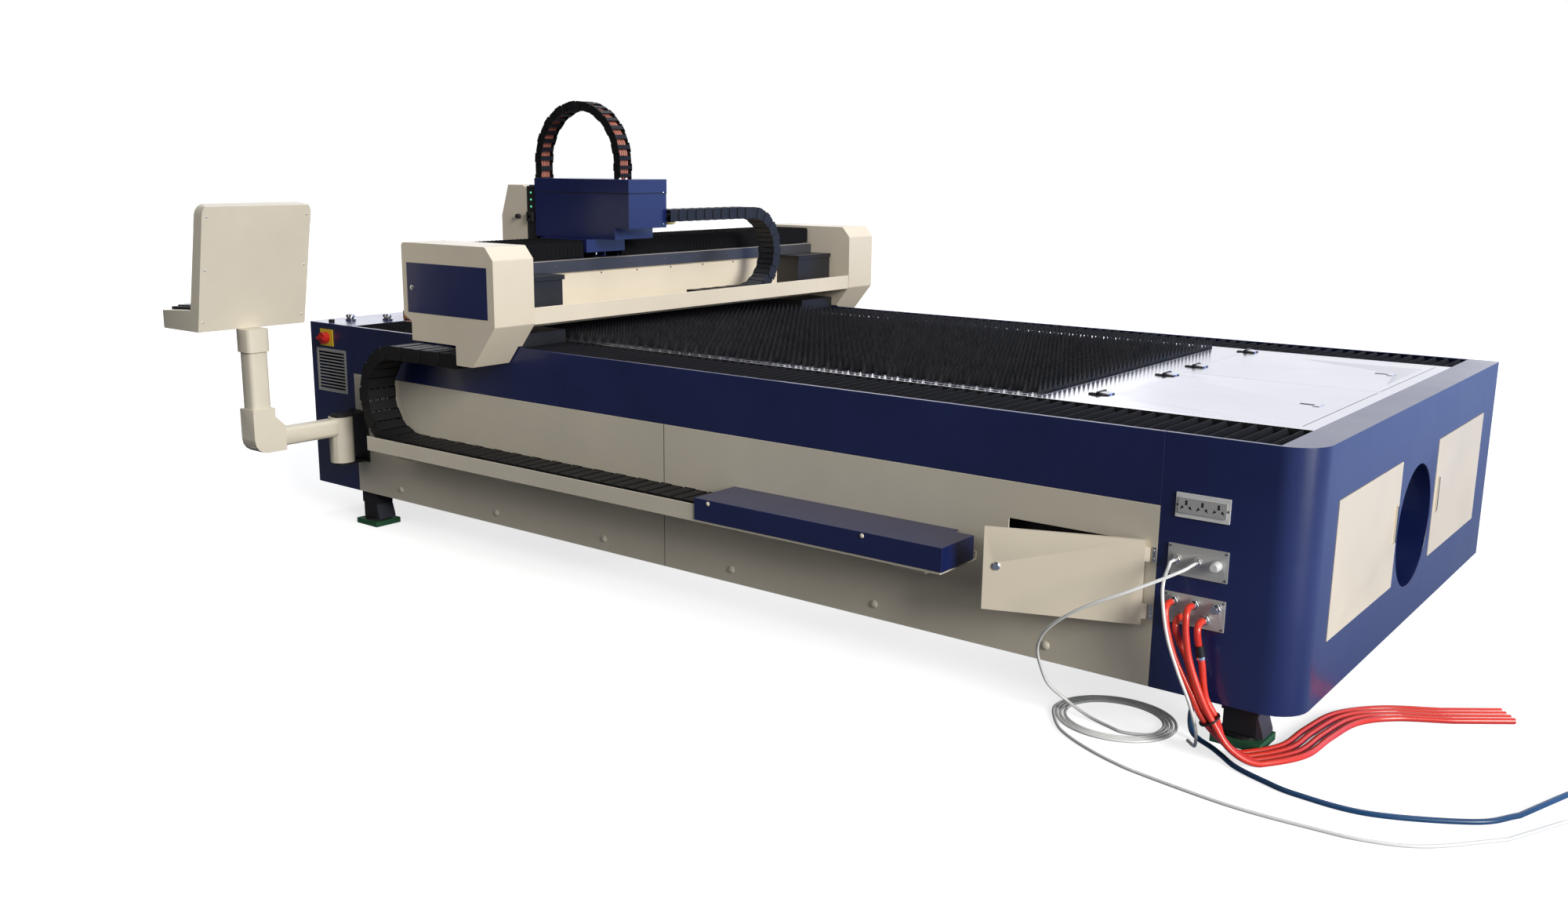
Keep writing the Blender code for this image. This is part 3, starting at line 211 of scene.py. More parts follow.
def surface(
    name, low, high, rough, metal=0.0, scale=3.0, fine=300.0, depth=0.1, coat=0.0, shine=0.5, brushed=False
):
    """A Principled material whose colour and roughness wander between two values."""
    made = bpy.data.materials.new(f"{name}_finish")
    made.use_nodes = True
    tree = made.node_tree
    face = tree.nodes["Principled BSDF"]
    face.inputs["Metallic"].default_value = metal
    face.inputs["Coat Weight"].default_value = coat
    face.inputs["Coat Roughness"].default_value = 0.10
    face.inputs["Specular IOR Level"].default_value = shine
    detail = tree.nodes.new("ShaderNodeGroup")
    detail.node_tree = brush if brushed else grain
    if brushed:
        detail.inputs["Across"].default_value = fine
        detail.inputs["Along"].default_value = scale
        face.inputs["Anisotropic"].default_value = 0.5
    else:
        detail.inputs["Scale"].default_value = scale
        detail.inputs["Fine"].default_value = fine
    detail.inputs["Depth"].default_value = depth
    shade = detail.outputs[0]
    wander = detail.outputs[1 if brushed else 0]
    span = node(tree, "ShaderNodeMapRange")
    span.inputs["From Min"].default_value = 0.3
    span.inputs["From Max"].default_value = 0.7
    tree.links.new(shade, span.inputs["Value"])
    blend = node(tree, "ShaderNodeMix", data_type="RGBA")
    blend.inputs[6].default_value = (*low, 1.0)
    blend.inputs[7].default_value = (*high, 1.0)
    tree.links.new(span.outputs["Result"], blend.inputs[0])
    tree.links.new(blend.outputs[2], face.inputs["Base Color"])
    gloss = node(tree, "ShaderNodeMapRange")
    gloss.inputs["From Min"].default_value = 0.25
    gloss.inputs["From Max"].default_value = 0.75
    gloss.inputs["To Min"].default_value = rough[0]
    gloss.inputs["To Max"].default_value = rough[1]
    tree.links.new(wander, gloss.inputs["Value"])
    tree.links.new(gloss.outputs["Result"], face.inputs["Roughness"])
    tree.links.new(detail.outputs["Normal"], face.inputs["Normal"])
    return made


NAVY = surface("navy_paint", (0.0060, 0.0120, 0.072), (0.0080, 0.0160, 0.092), (0.26, 0.36), coat=0.30)
CREAM = surface("cream_paint", (0.660, 0.590, 0.465), (0.700, 0.628, 0.500), (0.34, 0.46), depth=0.08)
GREY = surface("grey_cream_paint", (0.590, 0.545, 0.445), (0.640, 0.590, 0.480), (0.36, 0.48), depth=0.08)
BLACK = surface(
    "black_steel", (0.010, 0.010, 0.011), (0.020, 0.020, 0.022),
    (0.35, 0.55), fine=160.0, shine=0.35,
)
SLAT = surface(
    "dark_slat_steel", (0.008, 0.008, 0.009), (0.024, 0.023, 0.023),
    (0.45, 0.70), 0.25, 14.0, 160.0, 0.3, shine=0.22,
)
DECK = surface(
    "brushed_stainless", (0.66, 0.66, 0.69), (0.76, 0.76, 0.79),
    (0.12, 0.22), 1.0, 1.5, 300.0, 0.05, brushed=True,
)
CLOTH = surface(
    "bellows_cloth", (0.004, 0.004, 0.005), (0.008, 0.008, 0.009),
    (0.65, 0.80), fine=900.0, depth=0.25, shine=0.08,
)
PLASTIC = surface(
    "chain_plastic", (0.005, 0.005, 0.006), (0.010, 0.010, 0.011),
    (0.45, 0.60), fine=500.0, shine=0.20,
)
# A lighter, bluer copy of the chain plastic, a painted sheen of the lit top of the Y chain's upper run and
# loop; its lower run keeps the dark chain plastic.
CHAIN_SHEEN = surface(
    "painted_sheen_chain_plastic", (0.008, 0.009, 0.012), (0.015, 0.016, 0.022),
    (0.40, 0.55), fine=500.0, shine=0.35,
)
PLATE = surface(
    "panel_aluminium", (0.44, 0.44, 0.41), (0.56, 0.55, 0.52),
    (0.34, 0.48), 0.4, 2.0, 240.0, brushed=True,
)
YELLOW = surface("switch_yellow", (0.72, 0.50, 0.025), (0.80, 0.56, 0.035), (0.30, 0.40), fine=500.0)
RED = surface("switch_red", (0.50, 0.015, 0.015), (0.60, 0.022, 0.018), (0.22, 0.32), fine=500.0)
HOSE_RED = surface("red_hose", (0.66, 0.030, 0.016), (0.80, 0.060, 0.026), (0.24, 0.36), fine=500.0, coat=0.3)
HOSE_BLUE = surface("blue_hose", (0.008, 0.045, 0.120), (0.014, 0.070, 0.180), (0.30, 0.42), fine=500.0)
HOSE_WHITE = surface("white_tube", (0.74, 0.76, 0.74), (0.84, 0.85, 0.83), (0.18, 0.28), fine=400.0, coat=0.4)
STEEL = surface("polished_steel", (0.60, 0.60, 0.61), (0.74, 0.74, 0.74), (0.14, 0.24), 1.0)
RAIL = surface("rail_steel", (0.040, 0.042, 0.050), (0.066, 0.068, 0.080), (0.30, 0.44), 0.3)
COPPER = surface("copper_cable", (0.30, 0.090, 0.060), (0.42, 0.15, 0.100), (0.35, 0.50))
GREEN = surface(
    "green_pad", (0.012, 0.070, 0.030), (0.020, 0.110, 0.045),
    (0.55, 0.70), fine=120.0, depth=0.3,
)
AMBER = surface("amber_plastic", (0.50, 0.20, 0.080), (0.60, 0.26, 0.110), (0.30, 0.45))
WHITE = surface("white_plastic", (0.62, 0.63, 0.62), (0.70, 0.71, 0.70), (0.28, 0.38), fine=500.0)
GLASS = surface(
    "screen_glass", (0.004, 0.005, 0.007), (0.007, 0.008, 0.011),
    (0.05, 0.09), depth=0.01, coat=0.6,
)
BRASS = surface("brass_terminal", (0.62, 0.46, 0.12), (0.74, 0.56, 0.18), (0.28, 0.40), 0.6)

LAMP = bpy.data.materials.new("green_indicator")
LAMP.use_nodes = True
glow = LAMP.node_tree.nodes["Principled BSDF"]
glow.inputs["Base Color"].default_value = (0.10, 0.60, 0.36, 1.0)
glow.inputs["Emission Color"].default_value = (0.20, 1.0, 0.60, 1.0)
glow.inputs["Emission Strength"].default_value = 0.6

PLANES = {
    "XY": lambda a, b, t: (a, b, t),
    "XZ": lambda a, b, t: (a, t, b),
    "YZ": lambda a, b, t: (t, a, b),
}
SOFT_EDGE = math.radians(34)


# Shapes.
class Solid:
    """Collects simple closed shapes into one piece."""

    def __init__(self):
        self.bm = bmesh.new()

    def ring(self, points):
        return [self.bm.verts.new(point) for point in points]

    def bridge(self, rings):
        """Closed skin over rings of equal length, with a cap at each end."""
        self.bm.faces.new(rings[0][::-1])
        self.bm.faces.new(rings[-1])
        for low, high in zip(rings, rings[1:]):
            for i in range(len(low)):
                j = (i + 1) % len(low)
                self.bm.faces.new((low[i], low[j], high[j], high[i]))
        return self

    def box(self, x, y, z):
        outline = ((x[0], y[0]), (x[1], y[0]), (x[1], y[1]), (x[0], y[1]))
        return self.bridge([self.ring([(a, b, c) for a, b in outline]) for c in z])

    def prism(self, plane, outline, low, high):
        """An outline in one plane, drawn out from low to high along the third axis."""
        order = PLANES[plane]
        return self.bridge([self.ring([order(a, b, t) for a, b in outline]) for t in (low, high)])

    def turned(self, base, tip, profile, sides=18):
        """Turned shape: profile gives (share of the way from base to tip, radius)."""
        base, tip = Vector(base), Vector(tip)
        turn = (tip - base).to_track_quat("Z", "Y")
        spokes = [math.tau * i / sides for i in range(sides)]
        rings = []
        for share, radius in profile:
            at = base.lerp(tip, share)
            rim = [Vector((radius * math.cos(t), radius * math.sin(t), 0)) for t in spokes]
            rings.append(self.ring([at + turn @ point for point in rim]))
        return self.bridge(rings)

    def rod(self, base, tip, radius, sides=18):
        return self.turned(base, tip, ((0, radius), (1, radius)), sides)

    def dome(self, base, tip, radius, sides=18):
        """Round head on a flat face, such as a bolt or a rivet."""
        steps = [math.pi / 2 * k / 4 for k in range(4)]
        profile = [(math.sin(t), radius * math.cos(t)) for t in steps]
        return self.turned(base, tip, [*profile, (1.0, radius * 0.12)], sides)

    def done(self, name, mat, body=None, bevel=0.0, stands_for=()):
        bmesh.ops.recalc_face_normals(self.bm, faces=self.bm.faces)
        bmesh.ops.translate(self.bm, vec=ROW, verts=self.bm.verts)
        return placed(name, self.bm, mat, body, bevel, stands_for)


def placed(name, bm, mat, body, bevel, stands_for):
    """An object made of the bmesh, on its body and standing for its CAD nodes."""
    mesh = bpy.data.meshes.new(name)
    bm.to_mesh(mesh)
    bm.free()
    mesh.materials.append(mat)
    mesh.shade_smooth()
    mesh.set_sharp_from_angle(angle=SOFT_EDGE)
    piece = bpy.data.objects.new(name, mesh)
    scene.collection.objects.link(piece)
    if bevel:
        edge = piece.modifiers.new("edges", "BEVEL")
        edge.width = bevel
        edge.segments = 2
        edge.limit_method = "ANGLE"
        edge.angle_limit = SOFT_EDGE
        edge.harden_normals = True
    if body:
        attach(piece, body)
    if stands_for:
        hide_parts(*stands_for)
    return piece


def dress(name, mat, bevel):
    """Softens a CAD node's edges: its triangles joined into flat faces, then bevelled."""
    source = frame["nodes"][name]
    bm = bmesh.new()
    bm.from_mesh(source.data)
    bmesh.ops.remove_doubles(bm, verts=bm.verts, dist=0.00002)
    bmesh.ops.dissolve_limit(bm, angle_limit=math.radians(0.8), verts=bm.verts, edges=bm.edges)
    return placed(f"{name}_finished", bm, mat, source["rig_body"], bevel, [name])


def spread(points, spacing):
    """Even points along a smooth curve through the chosen points."""
    fine = []
    ends = [2 * Vector(points[0]) - Vector(points[1]), *map(Vector, points)]
    ends.append(2 * Vector(points[-1]) - Vector(points[-2]))
    for a, b, c, d in zip(ends, ends[1:], ends[2:], ends[3:]):
        for k in range(24):
            t = k / 24
            curve = 2 * b + (c - a) * t + (2 * a - 5 * b + 4 * c - d) * t * t
            fine.append(0.5 * (curve + (3 * b - a - 3 * c + d) * t * t * t))
    fine.append(Vector(points[-1]))
    lengths = [0.0]
    for p, q in zip(fine, fine[1:]):
        lengths.append(lengths[-1] + (q - p).length)
    count = max(2, round(lengths[-1] / spacing))
    places = []
    i = 0
    for k in range(count + 1):
        want = lengths[-1] * k / count
        while i < len(fine) - 2 and lengths[i + 1] < want:
            i += 1
        places.append(fine[i].lerp(fine[i + 1], (want - lengths[i]) / (lengths[i + 1] - lengths[i])))
    return places


def beside(points, offset):
    """Floor points moved sideways, to the left of the way they run."""
    moved = []
    for i, point in enumerate(points):
        ahead = Vector(points[min(i + 1, len(points) - 1)]) - Vector(points[max(i - 1, 0)])
        moved.append(tuple(Vector(point) + Vector((-ahead.y, ahead.x, 0.0)).normalized() * offset))
    return moved


def cord(name, points, diameter, mat, stands_for):
    """A hose or tube of the CAD route, with the same straight ends."""
    lowest = diameter / 2 + 0.0005
    places = [Vector(points[0]), *spread(points[1:-1], 0.012), Vector(points[-1])]
    places = [Vector((x, y, max(z, lowest))) + ROW for x, y, z in places]
    curve = bpy.data.curves.new(name, "CURVE")
    curve.dimensions = "3D"
    curve.bevel_depth = diameter / 2
    curve.bevel_resolution = 5
    curve.use_fill_caps = True
    spline = curve.splines.new("POLY")
    spline.points.add(len(places) - 1)
    for point, where in zip(spline.points, places):
        point.co = (*where, 1.0)
    spline.use_smooth = True
    curve.materials.append(mat)
    piece = bpy.data.objects.new(name, curve)
    scene.collection.objects.link(piece)
    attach(piece, "bed")
    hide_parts(*stands_for)
    return piece


# Hoses and tubes.
fitting = -BED_Y - 0.0316
gas_x = (1.977, 2.039, 2.097)
gas_z = 0.581
hose_x = (1.977, 2.010, 2.039, 2.075)
hose_z = (0.455, 0.416, 0.455, 0.416)
floor = 0.0105
bundle = [
    (2.222, -1.100, floor),
    (2.300, -0.965, floor),
    (2.318, -0.790, floor),
    (2.350, -0.610, floor),
    (2.440, -0.480, floor),
    (2.590, -0.380, floor),
    (2.740, -0.260, floor),
]
tied = ((-0.014, -0.014), (-0.014, 0.014), (0.014, -0.014), (0.014, 0.014))
middles = ((2.022, -1.214), (2.046, -1.188), (2.066, -1.216), (2.092, -1.192))
rows = (-0.014, 0.040, -0.040, 0.014)
for i, (x, z) in enumerate(zip(hose_x, hose_z)):
    aside, ahead = tied[i]
    middle_x, middle_y = middles[i]
    way = [
        (x, fitting, z),
        (x, fitting - 0.024, z),
        (x + 0.003, fitting - 0.042, z - 0.020),
        (x + (middle_x - x) * 0.35, middle_y, z - 0.075),
        (middle_x, middle_y, 0.300),
        (2.092 + aside, -1.197 + ahead, 0.200),
        (2.124 + aside, -1.184 + ahead, 0.135),
        (2.166 - 0.60 * rows[i], -1.150 + 0.80 * rows[i], 0.058),
        *beside(bundle, rows[i]),
    ]
    name = f"red_hose_{i + 1}"
    cord(f"{name}_line", way, 0.020, HOSE_RED, [name])

floor = 0.0055
way = [
    (1.977, fitting, gas_z),
    (1.977, fitting - 0.024, gas_z),
    (1.969, fitting - 0.044, gas_z - 0.057),
    (1.979, -1.231, 0.467),
    (2.005, -1.245, 0.372),
    (2.043, -1.246, 0.277),
    (2.078, -1.228, 0.182),
    (2.085, -1.180, 0.085),
    (2.070, -1.135, 0.022),
    (2.048, -1.100, floor),
    (2.026, -1.078, floor),
]
cord("white_tube_short_line", way, 0.010, HOSE_WHITE, ["white_tube_short"])

way = [
    (2.039, fitting, gas_z),
    (2.039, fitting - 0.030, gas_z),
    (2.031, fitting - 0.067, gas_z - 0.006),
    (1.977, -1.280, 0.545),
    (1.896, -1.325, 0.502),
    (1.802, -1.345, 0.452),
    (1.719, -1.345, 0.393),
    (1.656, -1.325, 0.329),
    (1.619, -1.285, 0.260),
    (1.603, -1.225, 0.185),
    (1.605, -1.165, 0.105),
    (1.650, -1.120, 0.048),
    (1.715, -1.112, 0.014),
    (1.785, -1.128, floor),
    (1.850, -1.146, floor),
]
loops = []
for k in range(59):
    turn = k / 16
    angle = math.radians(-25) + math.tau * turn
    across = 0.148 + 0.0125 * turn + 0.0015 * math.sin(5 * turn)
    loops.append((1.785 + across * math.cos(angle), -1.060 + (across - 0.016) * math.sin(angle), floor))
way += loops
way += [
    (1.672, -1.226, floor),
    (1.740, -1.283, floor),
    (1.825, -1.330, floor),
    (1.914, -1.366, floor),
    (2.015, -1.392, floor),
    (2.280, -1.427, floor),
    (2.498, -1.417, floor),
    (2.630, -1.396, floor),
    (2.757, -1.329, floor),
    (2.909, -1.155, floor),
    (3.010, -0.943, floor),
]
white_nodes = ["white_tube_drop", "white_tube_coil", "white_tube_run"]
cord("white_tube_line", way, 0.010, HOSE_WHITE, white_nodes)

floor = 0.0085
union_at = (2.095, -0.975, 0.130)
way = [
    (union_at[0] - 0.0256, *union_at[1:]),
    (union_at[0] - 0.050, *union_at[1:]),
    (2.022, -0.985, 0.118),
    (2.006, -1.010, 0.075),
    (2.022, -1.040, 0.024),
    (2.062, -1.062, floor),
    (2.105, -1.090, floor),
    (2.148, -1.127, floor),
    (2.208, -1.179, floor),
    (2.300, -1.220, floor),
    (2.400, -1.248, floor),
    (2.589, -1.241, floor),
    (2.818, -1.113, floor),
    (2.904, -0.995, floor),
    (2.983, -0.766, floor),
]
cord("blue_hose_line", way, 0.016, HOSE_BLUE, ["blue_hose"])

# CAD pieces with their finish.
kept = frame["nodes"]["bed_frame"]
kept.data.materials.clear()
kept.data.materials.append(BLACK)
finishes = {
    NAVY: (0.0025, "side_band_near side_band_far end_unit_left end_unit_right chain_tray_cover"),
    CREAM: (0.0025, "gantry_end_near gantry_end_far gantry_beam head_cover side_door"),
    GREY: (0.0020, "side_panel_near side_panel_far chain_tray console_arm console_box"),
    BLACK: (0.0015, "ledge_box_near ledge_box_far console_bracket console_keyboard"),
    DECK: (0.0010, "deck_frame deck_lid_near deck_lid_far"),
    PLATE: (0.0006, "vent_grille gas_panel water_panel"),
    YELLOW: (0.0030, "switch_plate"),
    RED: (0.0020, "switch_knob"),
    WHITE: (0.0010, "socket_panel"),
    STEEL: (0.0008, "cutting_head"),
}
for mat, (bevel, names) in finishes.items():
    for name in names.split():
        dress(name, mat, bevel)
for name in ("saddle", "head_box", "z_plate", "housing_door_near", "housing_door_far"):
    dress(name, NAVY, 0.0015)
for name in ("end_door_near", "end_door_far"):
    dress(name, CREAM, 0.0015)

# Slat table.
table_x = (-1.700, 1.347)
reach = 0.790
teeth = 42
pitch = 2 * reach / teeth
low_z = 0.903
root_z = 0.955
tip_z = 0.990
profile = [(-reach, low_z), (reach, low_z), (reach, root_z - 0.002)]
for i in range(teeth):
    high = reach - i * pitch
    for share, lift in ((0.22, 0.30), (0.40, 0.74), (0.47, 1.0), (0.53, 1.0), (0.60, 0.74), (0.78, 0.30)):
        profile.append((high - share * pitch, root_z + lift * (tip_z - root_z)))
    if i < teeth - 1:
        profile.append((high - pitch, root_z))
profile.append((-reach, root_z - 0.002))
slats = Solid()
count = 56
for i in range(count):
    x = table_x[0] + 0.022 + 0.0546 * i
    slats.prism("YZ", profile, x - 0.0015, x + 0.0015)
slats.done("slats", SLAT, "bed", stands_for=["slat_table"])
rim = Solid()
for side in (-1, 1):
    rim.box(table_x, sorted((side * 0.760, side * 0.7998)), (BED_TOP - 0.0050, BED_TOP + 0.0004))
    rim.box(table_x, sorted((side * 0.7958, side * 0.7998)), (0.895, BED_TOP - 0.004))
for x in ((table_x[0], table_x[0] + 0.010), (table_x[1] - 0.010, table_x[1])):
    rim.box(x, (-0.7998, 0.7998), (0.895, BED_TOP))
rim.done("slat_frame", DECK, "bed", 0.0006)
bars = Solid()
for y in (-0.520, 0.0, 0.520):
    bars.box((table_x[0] + 0.010, table_x[1] - 0.010), (y - 0.004, y + 0.004), (0.862, 0.902))
bars.done("slat_bearers", BLACK, "bed")


# Bellows.
SHOULDER = 0.004


def bellows(name, axis, span, heights, across, fold, drop, body=None):
    """Pleated cover along a span: its folds show on the top and on both sides."""
    count = max(2, round((span[1] - span[0]) / fold))
    step = (span[1] - span[0]) / count
    stations = []
    for i in range(count):
        start = span[0] + i * step
        stations += [(start, 0.0), (start + 0.20 * step, 0.15), (start + 0.46 * step, 1.0)]
        stations += [(start + 0.54 * step, 1.0), (start + 0.80 * step, 0.15)]
    stations.append((span[1], 0.0))
    cloth = Solid()
    rings = []
    for at, crest in stations:
        draw = drop * (1.0 - crest)
        low, high = across[0] + 0.6 * draw, across[1] - 0.6 * draw
        top = heights[1] - draw
        section = [(low, heights[0]), (high, heights[0])]
        section += [(high, top - SHOULDER), (high - SHOULDER, top)]
        section += [(low + SHOULDER, top), (low, top - SHOULDER)]
        rings.append(cloth.ring([(at, a, b) if axis == "X" else (a, at, b) for a, b in section]))
    cloth.bridge(rings)
    return cloth.done(name + "_pleats", CLOTH, body, stands_for=[name])


RAIL_FOLD, RAIL_DROP = 0.045, 0.020
BEAM_FOLD, BEAM_DROP = 0.024, 0.010
rail_z = (0.926, 0.949)
right_x = (-0.8797, 2.234)
left_x = (-2.011, -1.2623)
for word, across in (("near", (-1.117, -0.848)), ("far", (0.848, 1.117))):
    cloth = bellows(f"bellows_right_{word}", "X", right_x, rail_z, across, RAIL_FOLD, RAIL_DROP, "bed")
    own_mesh(cloth)
    cloth = bellows(f"bellows_left_{word}", "X", left_x, rail_z, across, RAIL_FOLD, RAIL_DROP)
    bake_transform(cloth)
beam_x = (-1.325, -1.043)
beam_z = (1.2865, 1.361)
for word, fixed, moving in (("near", -1.1187, -0.5653), ("far", 1.1187, -0.3197)):
    span = sorted((fixed, moving))
    cloth = bellows(f"y_bellows_{word}", "Y", span, beam_z, beam_x, BEAM_FOLD, BEAM_DROP)
    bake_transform(cloth)


# Drag chains.
PLATE_THICK = 0.0035


def along(start, end, pitch):
    """Even places on a straight run."""
    start, end = Vector(start), Vector(end)
    count = max(1, round((end - start).length / pitch))
    return [start.lerp(end, k / count) for k in range(count + 1)]


def arc(centre, radius, start, end, steps):
    """Even places on an arc between two angles in degrees."""
    points = []
    for k in range(steps + 1):
        turn = math.radians(start + (end - start) * k / steps)
        points.append(Vector((centre[0] + radius * math.cos(turn), centre[1] + radius * math.sin(turn))))
    return points


def links(plane, places, thick, across, first=0, fill=0.74):
    """Links of a drag chain: two side plates and two cross bars each, every other one narrower."""
    body = Solid()
    for i, (p, q) in enumerate(zip(places, places[1:])):
        pitch = (q - p).length
        ahead = (q - p) / pitch
        out = Vector((-ahead.y, ahead.x))
        inset = 0.0035 * ((i + first) % 2)
        half = thick / 2 - 0.0008 * ((i + first) % 2)
        corner = [(-0.10, -0.22), (0.06, -0.5), (0.94, -0.5), (1.10, -0.22)]
        corner += [(1.10, 0.22), (0.94, 0.5), (0.06, 0.5), (-0.10, 0.22)]
        if i == 0:
            corner = [(0.0, -0.5), *corner[2:6], (0.0, 0.5)]
        if i == len(places) - 2:
            corner = [*corner[: 2 if i else 1], (1.0, -0.5), (1.0, 0.5), *corner[-2 if i else -1 :]]
        plate = [tuple(p + ahead * pitch * a + out * 2 * half * b) for a, b in corner]
        for low in (across[0] + inset, across[1] - inset - PLATE_THICK):
            body.prism(plane, plate, low, low + PLATE_THICK)
        for side in (-1, 1):
            a = p + ahead * pitch * (0.5 - fill / 2) + out * side * (half - 0.0005)
            b = p + ahead * pitch * (0.5 + fill / 2) + out * side * (half - 0.0005)
            c = out * side * 0.005
            bar = [tuple(a), tuple(b), tuple(b - c), tuple(a - c)]
            body.prism(plane, bar, across[0] + 0.005, across[1] - 0.005)
    return body


def cables(plane, places, across, radius, sides=8):
    """Cables that lie inside a drag chain."""
    body = Solid()
    order = PLANES[plane]
    for at in across:
        rings = []
        for i, place in enumerate(places):
            step = places[min(i + 1, len(places) - 1)] - places[max(i - 1, 0)]
            out = Vector((-step.y, step.x)).normalized()
            ring = []
            for k in range(sides):
                turn = math.tau * k / sides
                point = place + out * radius * math.cos(turn)
                ring.append(order(point.x, point.y, at + radius * math.sin(turn)))
            rings.append(body.ring(ring))
        body.bridge(rings)
    return body


X_THICK, Y_THICK, Z_THICK = 0.060, 0.055, 0.040
X_PITCH = 0.060
X_WIRE, Y_WIRE, Z_WIRE = 0.011, 0.008, 0.0062
x_y = (-1.330, -1.180)
lower = along((-1.4647, 0.485), (0.450, 0.485), X_PITCH)
upper = along((-1.4647, 0.895), (-1.0173, 0.895), X_PITCH)
bend = arc((-1.465, 0.690), 0.205, 270, 90, 11)
x_wires = (-1.300, -1.270, -1.240, -1.210)
piece = links("XZ", lower, X_THICK, x_y)
piece = piece.done("x_chain_lower_links", PLASTIC, "bed", stands_for=["x_chain_lower"])
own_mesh(piece)
piece = cables("XZ", lower, x_wires, X_WIRE).done("x_chain_lower_cables", BLACK, "bed")
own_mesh(piece)
piece = links("XZ", upper, X_THICK, x_y).done("x_chain_upper_links", PLASTIC, stands_for=["x_chain_upper"])
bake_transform(piece)
piece = cables("XZ", upper, x_wires, X_WIRE).done("x_chain_upper_cables", BLACK)
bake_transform(piece)
piece = links("XZ", bend, X_THICK, x_y, 1)
piece.done("x_chain_loop_links", PLASTIC, "x_chain_bend", stands_for=["x_chain_loop"])
cables("XZ", bend, x_wires, X_WIRE).done("x_chain_loop_cables", BLACK, "x_chain_bend")

y_x = (-0.890, -0.790)
y_wires = (-0.868, -0.850, -0.832, -0.814)
lower = along((-0.050, 1.0885), (0.3297, 1.0885), 0.045)
upper = along((-0.2697, 1.4675), (0.3297, 1.4675), 0.030)
bend = arc((0.330, 1.278), 0.1895, -90, 90, 19)
piece = links("YZ", lower, Y_THICK, y_x).done("y_chain_lower_links", PLASTIC, stands_for=["y_chain_lower"])
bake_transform(piece)
clamp = Vector((-0.84, -0.2697, 1.467)) + ROW
# The upper run and loop take the painted sheen copy of the chain plastic.
piece = links("YZ", upper, Y_THICK, y_x)
piece = piece.done("y_chain_upper_links", CHAIN_SHEEN, "carriage", stands_for=["y_chain_upper"])
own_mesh(piece)
piece = cables("YZ", upper, y_wires, Y_WIRE).done("y_chain_upper_cables", BLACK, "carriage")
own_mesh(piece)
piece = links("YZ", bend, Y_THICK, y_x, 1)
piece.done("y_chain_loop_links", CHAIN_SHEEN, "y_chain_bend", stands_for=["y_chain_loop"])
cables("YZ", bend, y_wires, Y_WIRE).done("y_chain_loop_cables", BLACK, "y_chain_bend")

ride_up = [Vector((-1.460, 1.5973)), Vector((-1.460, 1.647)), *arc((-1.205, 1.698), 0.255, 180, 0, 18)]
ride_up += [Vector((-0.950, 1.663)), Vector((-0.950, 1.6283))]
arch_y = (-0.450, -0.370)
piece = links("XZ", ride_up, Z_THICK, arch_y, fill=0.42)
piece = piece.done("z_chain_links", PLASTIC, stands_for=["z_chain"])
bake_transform(piece)
arch_wires = (-0.436, -0.423, -0.410, -0.397, -0.384)
piece = cables("XZ", ride_up, arch_wires, Z_WIRE).done("z_chain_cables", COPPER)
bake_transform(piece)

# Bolts, seams, knobs and small fittings on the bed.
bolts = Solid()
for x in (-1.690, -1.030, -0.380, 0.286, 0.924, 1.572):
    bolts.dome((x, -BED_Y, 0.218), (x, -BED_Y - 0.009, 0.218), 0.015)
    bolts.dome((x, BED_Y, 0.218), (x, BED_Y + 0.009, 0.218), 0.015)
for u, z in ((0.365, 0.527), (1.020, 0.527)):
    bolts.dome((u, -1.3643, z), (u, -1.3690, z), 0.008)
bolts.done("panel_bolts", GREY, "bed")
seam = Solid()
for side in (-1, 1):
    depth = sorted((side * (BED_Y - 0.001), side * (BED_Y + 0.0003)))
    seam.box((-0.0512, -0.0488), depth, (0.168, 0.728))
seam.done("panel_seams", BLACK, "bed")

knobs = Solid()
waisted = ((0, 0.024), (0.20, 0.026), (0.35, 0.018), (0.55, 0.024), (0.80, 0.020), (1, 0.006))
for x, y in ((-2.225, -0.985), (-2.105, -0.860)):
    knobs.turned((x, y, BED_TOP), (x, y, BED_TOP + 0.036), waisted)
knobs.done("eye_bolts", STEEL, "bed")
plug = Solid()
plug.rod((-2.222, -1.095, BED_TOP), (-2.222, -1.095, BED_TOP + 0.014), 0.014)
plug.done("top_plug", BLACK, "bed", 0.002)
beacon = Solid()
beacon.rod((-2.060, -0.770, BED_TOP), (-2.060, -0.770, BED_TOP + 0.045), 0.026)
beacon.done("top_light", AMBER, "bed", 0.006)

# Sockets and fittings on the right end unit.
face = -BED_Y - 0.005
front = face - 0.0034
fascia = Solid()
fascia.box((1.9700, 2.1120), (front, face - 0.0002), (0.7195, 0.7655))
fascia.done("socket_fascia", PLATE, "bed", 0.0006)
holes = Solid()
for i in range(3):
    x = 1.9935 + i * 0.0475
    for z in (0.7480, 0.7550):
        holes.rod((x, front - 0.0003, z), (x, front + 0.001, z), 0.0038)
    for side in (-1, 1):
        wedge = [(x + side * 0.0170, 0.7305), (x + side * 0.0065, 0.7370), (x + side * 0.0125, 0.7430)]
        holes.prism("XZ", wedge, front - 0.0003, front + 0.001)
holes.done("socket_slots", BLACK, "bed")
screws = Solid()
socket_corners = ((1.967, 2.115), (0.7425,))
gas_corners = ((1.955, 2.121), (0.539, 0.618))
water_corners = ((1.953, 2.122), (0.392, 0.471))
for sides, levels in (socket_corners, gas_corners, water_corners):
    for x in sides:
        for z in levels:
            screws.dome((x, face, z), (x, face - 0.0025, z), 0.0036, 12)
screws.done("plate_screws", RAIL, "bed")
nuts = Solid()
SPARE = (2.104, 0.455)
fittings = [(x, gas_z, 0.0145) for x in gas_x[:2]]
fittings += [(x, z, 0.0165) for x, z in (*zip(hose_x, hose_z), SPARE)]
